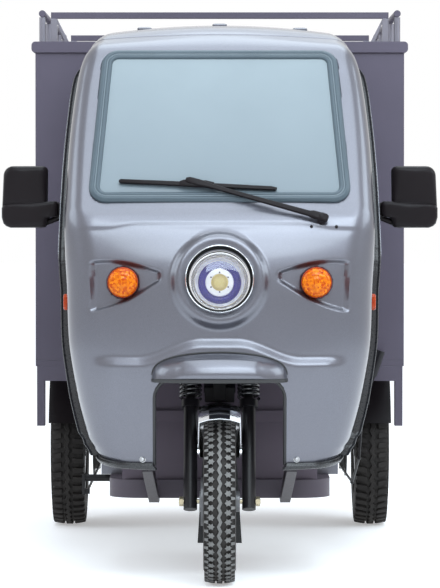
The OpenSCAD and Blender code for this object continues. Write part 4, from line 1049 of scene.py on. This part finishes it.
def swollen(obj, place, cap):
    # fine even mesh, then stuffing pressure; the underside is held and no point moves further than the cap
    mod = obj.modifiers.new("even", "REMESH")
    mod.mode = "VOXEL"
    mod.voxel_size = stuffing["voxel"]
    fine = bpy.data.meshes.new_from_object(evaluated(obj))
    obj.modifiers.remove(mod)
    obj.data = fine
    back = place.inverted()
    held = obj.vertex_groups.new(name="held")
    held.add([v.index for v in fine.vertices if (back @ v.co).z < stuffing["held"]], 1.0, "REPLACE")
    start = [v.co.copy() for v in fine.vertices]
    cloth = obj.modifiers.new("stuffing", "CLOTH")
    cloth.settings.quality = stuffing["quality"]
    cloth.settings.mass = stuffing["mass"]
    cloth.settings.tension_stiffness = cloth.settings.compression_stiffness = stuffing["stretch"]
    cloth.settings.bending_stiffness = stuffing["bend"]
    cloth.settings.use_pressure = True
    cloth.settings.uniform_pressure_force = stuffing["pressure"]
    cloth.settings.effector_weights.gravity = 0
    cloth.settings.vertex_group_mass = "held"
    cloth.point_cache.frame_start, cloth.point_cache.frame_end = 1, stuffing["frames"]
    for step in range(1, stuffing["frames"] + 1):
        bpy.context.scene.frame_set(step)
    ends = [v.co.copy() for v in evaluated(obj).data.vertices]
    obj.modifiers.remove(cloth)
    bpy.context.scene.frame_set(1)
    for v, a, b in zip(fine.vertices, start, ends):
        step = b - a
        v.co = a + step * min(1.0, cap / max(step.length, 1e-6))


for pad in pads:
    obj = addMesh(pad["name"], *padForm(pad["size"], pad["place"]), "seatVinyl", "chassis", pad["node"], 60)
    swollen(obj, pad["place"], pad["cap"])
    obj.data.materials.clear()
    obj.data.materials.append(paints["seatVinyl"])
    for poly in obj.data.polygons:
        poly.use_smooth = True
    obj.modifiers.new("finer", "SUBSURF").render_levels = 1
print("seat pads")

# Fork springs, and the brace between the lower yoke and the mudguard: boxes of (half width, y, y, z, z)
spring = {"turns": 6, "perTurn": 36, "sides": 10, "low": 0.2973, "high": 0.3747, "x": 0.085, "y": -0.040,
          "radius": 0.0295, "wire": 0.0045}
brace = {"boxes": ((0.044, -0.053, -0.0465, 0.283, 0.330), (0.019, -0.0580, -0.0535, 0.286, 0.376)),
         "edge": 0.003}


def springCoil(side):
    loops = []
    section = arc(spring["radius"], 0, spring["wire"], 0, 360, spring["sides"])[:-1]
    for i, z in enumerate(spread((spring["low"], spring["high"], spring["turns"] * spring["perTurn"]))):
        a = 2 * math.pi * i / spring["perTurn"]
        centre, ray = Vector((side * spring["x"], spring["y"], z)), Vector((math.cos(a), math.sin(a), 0))
        loops.append([steerFrame @ (centre + ray * out + Vector((0, 0, h))) for out, h in section])
    return capped(loops)


def forkBox(x, y0, y1, z0, z1):
    edge = brace["edge"]
    loops = []
    for z, inset in ((z0, edge), (z0 + edge, 0.0), (z1 - edge, 0.0), (z1, edge)):
        flat = roundRect(-x + inset, x - inset, y0 + inset, y1 - inset, edge, 3)
        loops.append([steerFrame @ Vector((a, b, z)) for a, b in flat])
    return capped(loops)


springParts = [springCoil(side) for side in (-1, 1)]
addMesh("coilSprings", *merge(springParts), "springPaint", "steering", "fork_springs", 60)
addMesh("forkBrace", *merge([forkBox(*box) for box in brace["boxes"]]), "darkSteel", "steering")

# Tyres: outlines of tread blocks are (x, share of a pitch)
frontTyre = {"radius": frontRadius, "width": 0.096, "groove": 0.007, "crown": 0.007, "pitches": 54,
             "swing": 0.003, "rib": 0.0048,
             "blocks": [[(0.0135, 0.0), (0.0185, 0.16), (0.0195, 0.36), (0.0250, 0.24), (0.0310, 0.34),
                         (0.0305, 0.14), (0.0360, 0.0), (0.0305, -0.14), (0.0310, -0.34), (0.0250, -0.24),
                         (0.0195, -0.36), (0.0185, -0.16)],
                        [(0.0325, 0.30), (0.0440, 0.36), (0.0440, 0.62), (0.0325, 0.70)]]}
rearTyre = {"radius": rearRadius, "width": 0.118, "groove": 0.009, "crown": 0.008, "pitches": 50,
            "swing": 0.004, "rib": 0.0070,
            "blocks": [[(0.0185, -0.22), (0.0340, -0.34), (0.0540, -0.30), (0.0540, 0.16), (0.0340, 0.20),
                        (0.0185, 0.30)]]}
tread = {"wear": 0.0005, "root": 0.002, "bevel": 0.001, "bevelIn": 0.0012, "blockBevel": 0.0015,
         "footGrow": 1.06, "topGrow": 0.9, "paleDepth": 0.0022}
wallRib = ((-0.0016, -0.002), (-0.0008, 0.0012), (0.0008, 0.0012), (0.0016, -0.002))
wheelSteps = 96


def wheelPoint(place, radius, x, a):
    return place @ Vector((radius * math.cos(a), radius * math.sin(a), x))


def crownAt(tyre, x):
    return tyre["crown"] * (2 * x / tyre["width"]) ** 2


def treadBlock(place, tyre, outline):
    # outline of (x, arc length) lifted from the carcass to the tread, its top drawn in
    top = tyre["radius"] - tread["wear"]
    root = top - tyre["groove"] - tread["root"]
    cx = sum(x for x, t in outline) / len(outline)
    ct = sum(t for x, t in outline) / len(outline)
    loops = []
    levels = ((root, tread["footGrow"]), (top - tread["blockBevel"], 1.0), (top, tread["topGrow"]))
    for radius, grow in levels:
        grown = [(cx + (x - cx) * grow, ct + (t - ct) * grow) for x, t in outline]
        loops.append([wheelPoint(place, radius - crownAt(tyre, x), x, t / tyre["radius"]) for x, t in grown])
    verts, faces = ring(loops)
    faces.append(tuple(range(len(verts) - len(outline), len(verts))))
    return verts, faces


def zigzag(place, tyre):
    # rib that swings to and fro round the middle of the tread
    top, half = tyre["radius"] - tread["wear"], tyre["rib"]
    root, bevel = top - tyre["groove"] - tread["root"], tread["bevel"]
    inner = half - tread["bevelIn"]
    section = [(root, -half - bevel), (top - bevel, -half), (top, -inner), (top, inner),
               (top - bevel, half), (root, half + bevel)]
    count = tyre["pitches"] * 4
    verts = []
    for i in range(count + 1):
        mid = tyre["swing"] * (1, 0, -1, 0)[i % 4]
        verts += [wheelPoint(place, r, mid + x, 2 * math.pi * i / count) for r, x in section]
    return verts, quads(count, len(section) - 1)


def carcass(place, tyre):
    r, w = tyre["radius"] - tyre["groove"], tyre["width"] / 2
    wall = (r + rimRadius) / 2
    profile = [(rimRadius + 0.002, -w + 0.020), (rimRadius + 0.010, -w + 0.013),
               (rimRadius + 0.016, -w + 0.008), (wall - 0.006, -w + 0.001),
               (wall + 0.006, -w + 0.001), (r - 0.022, -w + 0.006),
               (r - 0.010, -w + 0.012), (r - 0.0035, -w + 0.020), (r - 0.0008, -w * 0.4), (r, 0)]
    return lathe(profile + [(a, -b) for a, b in profile[-2::-1]], place, wheelSteps)


def sideRibs(place, tyre):
    # thin moulded rings on the walls, each (radius, distance inside the full width)
    parts = []
    rings = ((rimRadius + 0.018, 0.0066), (tyre["radius"] - tyre["groove"] - 0.020, 0.0048))
    for side in (-1, 1):
        for r, inside in rings:
            x = tyre["width"] / 2 - inside
            loops = []
            for i in range(wheelSteps + 1):
                a = 2 * math.pi * i / wheelSteps
                loops.append([wheelPoint(place, r + up, side * (x + out), a) for up, out in wallRib])
            parts.append(ring(loops))
    return parts


def tyreMesh(place, tyre):
    parts = [carcass(place, tyre)] + sideRibs(place, tyre) + [zigzag(place, tyre)]
    pitch = 2 * math.pi * tyre["radius"] / tyre["pitches"]
    for i in range(tyre["pitches"]):
        for side in (-1, 1):
            start = pitch * (i + (0.0 if side > 0 else 0.5))
            for block in tyre["blocks"]:
                outline = [(side * x, start + share * pitch) for x, share in block]
                parts.append(treadBlock(place, tyre, outline[::side]))
    return merge(parts)


def wheelPlace(x, y, radius, turn):
    return Matrix.Translation((x, y, radius)) @ Matrix.Rotation(turn * math.pi / 2, 4, "Y")


frontPlace = wheelPlace(0, frontAxleY, frontRadius, 1)
frontTread = addMesh("frontTread", *tyreMesh(frontPlace, frontTyre), "tyreRubber", "front_wheel",
                     "front_tyre", 30)
frontTread.data.materials.append(paints["treadRubber"])
for poly in frontTread.data.polygons:  # paler tops of the blocks, on the front tyre only
    x, y, z = poly.center
    if math.hypot(y - frontAxleY, z - frontRadius) > frontRadius - crownAt(frontTyre, x) - tread["paleDepth"]:
        poly.material_index = 1
for side, name in ((1, "Left"), (-1, "Right")):
    place = wheelPlace(side * halfTrack, rearAxleY, rearRadius, side)
    addMesh("rearTread" + name, *tyreMesh(place, rearTyre), "tyreRubber", "rear_wheel_" + name.lower(),
            "rear_tyre_" + name.lower(), 30)
print("springs and tyres")

# Stage and light: places and aims in metres, power in watts
floorTones = {"low": (0.82, 0.82, 0.82), "high": (0.86, 0.86, 0.86), "lift": 0.38}
skyTones = {"low": (0.12, 0.12, 0.145), "high": (0.90, 0.95, 1.02), "from": -0.1, "to": 0.7}
white = (1.0, 1.0, 1.0)
coolWhite = (0.84, 0.98, 1.07)
lamps = [
    {"name": "topSoft", "place": (0.3, -1.8, 4.4), "aim": (0, -1.8, 0.9), "size": (6, 3), "power": 142},
    {"name": "backSoft", "place": (0.3, 1.6, 4.2), "aim": (0, 1.6, 0.9), "size": (4, 3.4), "power": 42},
    {"name": "frontSoft", "place": (0.9, -5.4, 4.3), "aim": (0, -1.2, 1.0), "size": (4.5, 2.4), "power": 185},
    {"name": "leftSoft", "place": (-4.2, -1.6, 3.3), "aim": (0, -0.9, 1.2), "size": (3, 2.6), "power": 62},
    {"name": "rightSoft", "place": (4.2, -1.6, 3.3), "aim": (0, -0.9, 1.2), "size": (3, 2.6), "power": 85},
]
scene = bpy.context.scene


def looking(tree):
    # 1 for rays that look at the background, straight or by way of metal and glass
    light = put(tree, "ShaderNodeLightPath").outputs
    straight = reckon(tree, "MAXIMUM", light["Is Camera Ray"], light["Is Glossy Ray"])
    return reckon(tree, "MAXIMUM", straight, light["Is Transmission Ray"])


def floorMaterial():
    mat, tree, shader = newMaterial("paleFloor")
    cloud = useGroup(tree, "cloud", Scale=0.5, Fine=20.0)
    tone = mixColour(tree, cloud["Value"], floorTones["low"], floorTones["high"])
    tree.links.new(tone, shader["Base Color"])
    shader["Roughness"].default_value = 0.9
    shader["Specular IOR Level"].default_value = 0.0
    tree.links.new(reckon(tree, "MULTIPLY", looking(tree), floorTones["lift"]), shader["Emission Strength"])
    shader["Emission Color"].default_value = (*white, 1.0)
    return mat


def areaLight(spec):
    data = bpy.data.lights.new(spec["name"], "AREA")
    data.shape = "RECTANGLE"
    data.size, data.size_y = spec["size"]
    data.energy = spec["power"]
    data.color = coolWhite
    lamp = bpy.data.objects.new(spec["name"], data)
    scene.collection.objects.link(lamp)
    lamp.location = spec["place"]
    lamp.rotation_euler = (Vector(spec["aim"]) - Vector(spec["place"])).to_track_quat("-Z", "Y").to_euler()


floorMesh = bpy.data.meshes.new("floor")
floorMesh.from_pydata([(-40, -40, 0), (40, -40, 0), (40, 60, 0), (-40, 60, 0)], [], [(0, 1, 2, 3)])
floorMesh.materials.append(floorMaterial())
floor = bpy.data.objects.new("floor", floorMesh)
scene.collection.objects.link(floor)

world = bpy.data.worlds.new("studio")
scene.world = world
world.use_nodes = True
sky = world.node_tree
direction = put(sky, "ShaderNodeTexCoord").outputs["Generated"]
height = put(sky, "ShaderNodeSeparateXYZ", {"Vector": direction})
ramp = put(sky, "ShaderNodeMapRange", {"Value": height.outputs["Z"], "From Min": skyTones["from"],
                                       "From Max": skyTones["to"]})
around = mixColour(sky, ramp.outputs["Result"], skyTones["low"], skyTones["high"])
sky.links.new(mixColour(sky, looking(sky), around, white), sky.nodes["Background"].inputs["Color"])
sky.nodes["Background"].inputs["Strength"].default_value = 1.0
for spec in lamps:
    areaLight(spec)

# Camera at the photograph's distance and height
view = {"lens": 221.8, "sensor": 36, "place": (0.005, frontAxleY - 10.5, 1.087), "turn": -0.00037,
        "dip": math.radians(1.345), "far": 200}
cameraData = bpy.data.cameras.new("photoCamera")
cameraData.lens = view["lens"]
cameraData.sensor_width = view["sensor"]
cameraData.clip_end = view["far"]
camera = bpy.data.objects.new("photoCamera", cameraData)
scene.collection.objects.link(camera)
scene.camera = camera
camera.location = view["place"]
look = Vector((view["turn"], 1.0, -math.tan(view["dip"])))
camera.rotation_euler = look.to_track_quat("-Z", "Y").to_euler()
scene.view_settings.view_transform = "Standard"
scene.cycles.use_denoising = True
print("stage set")
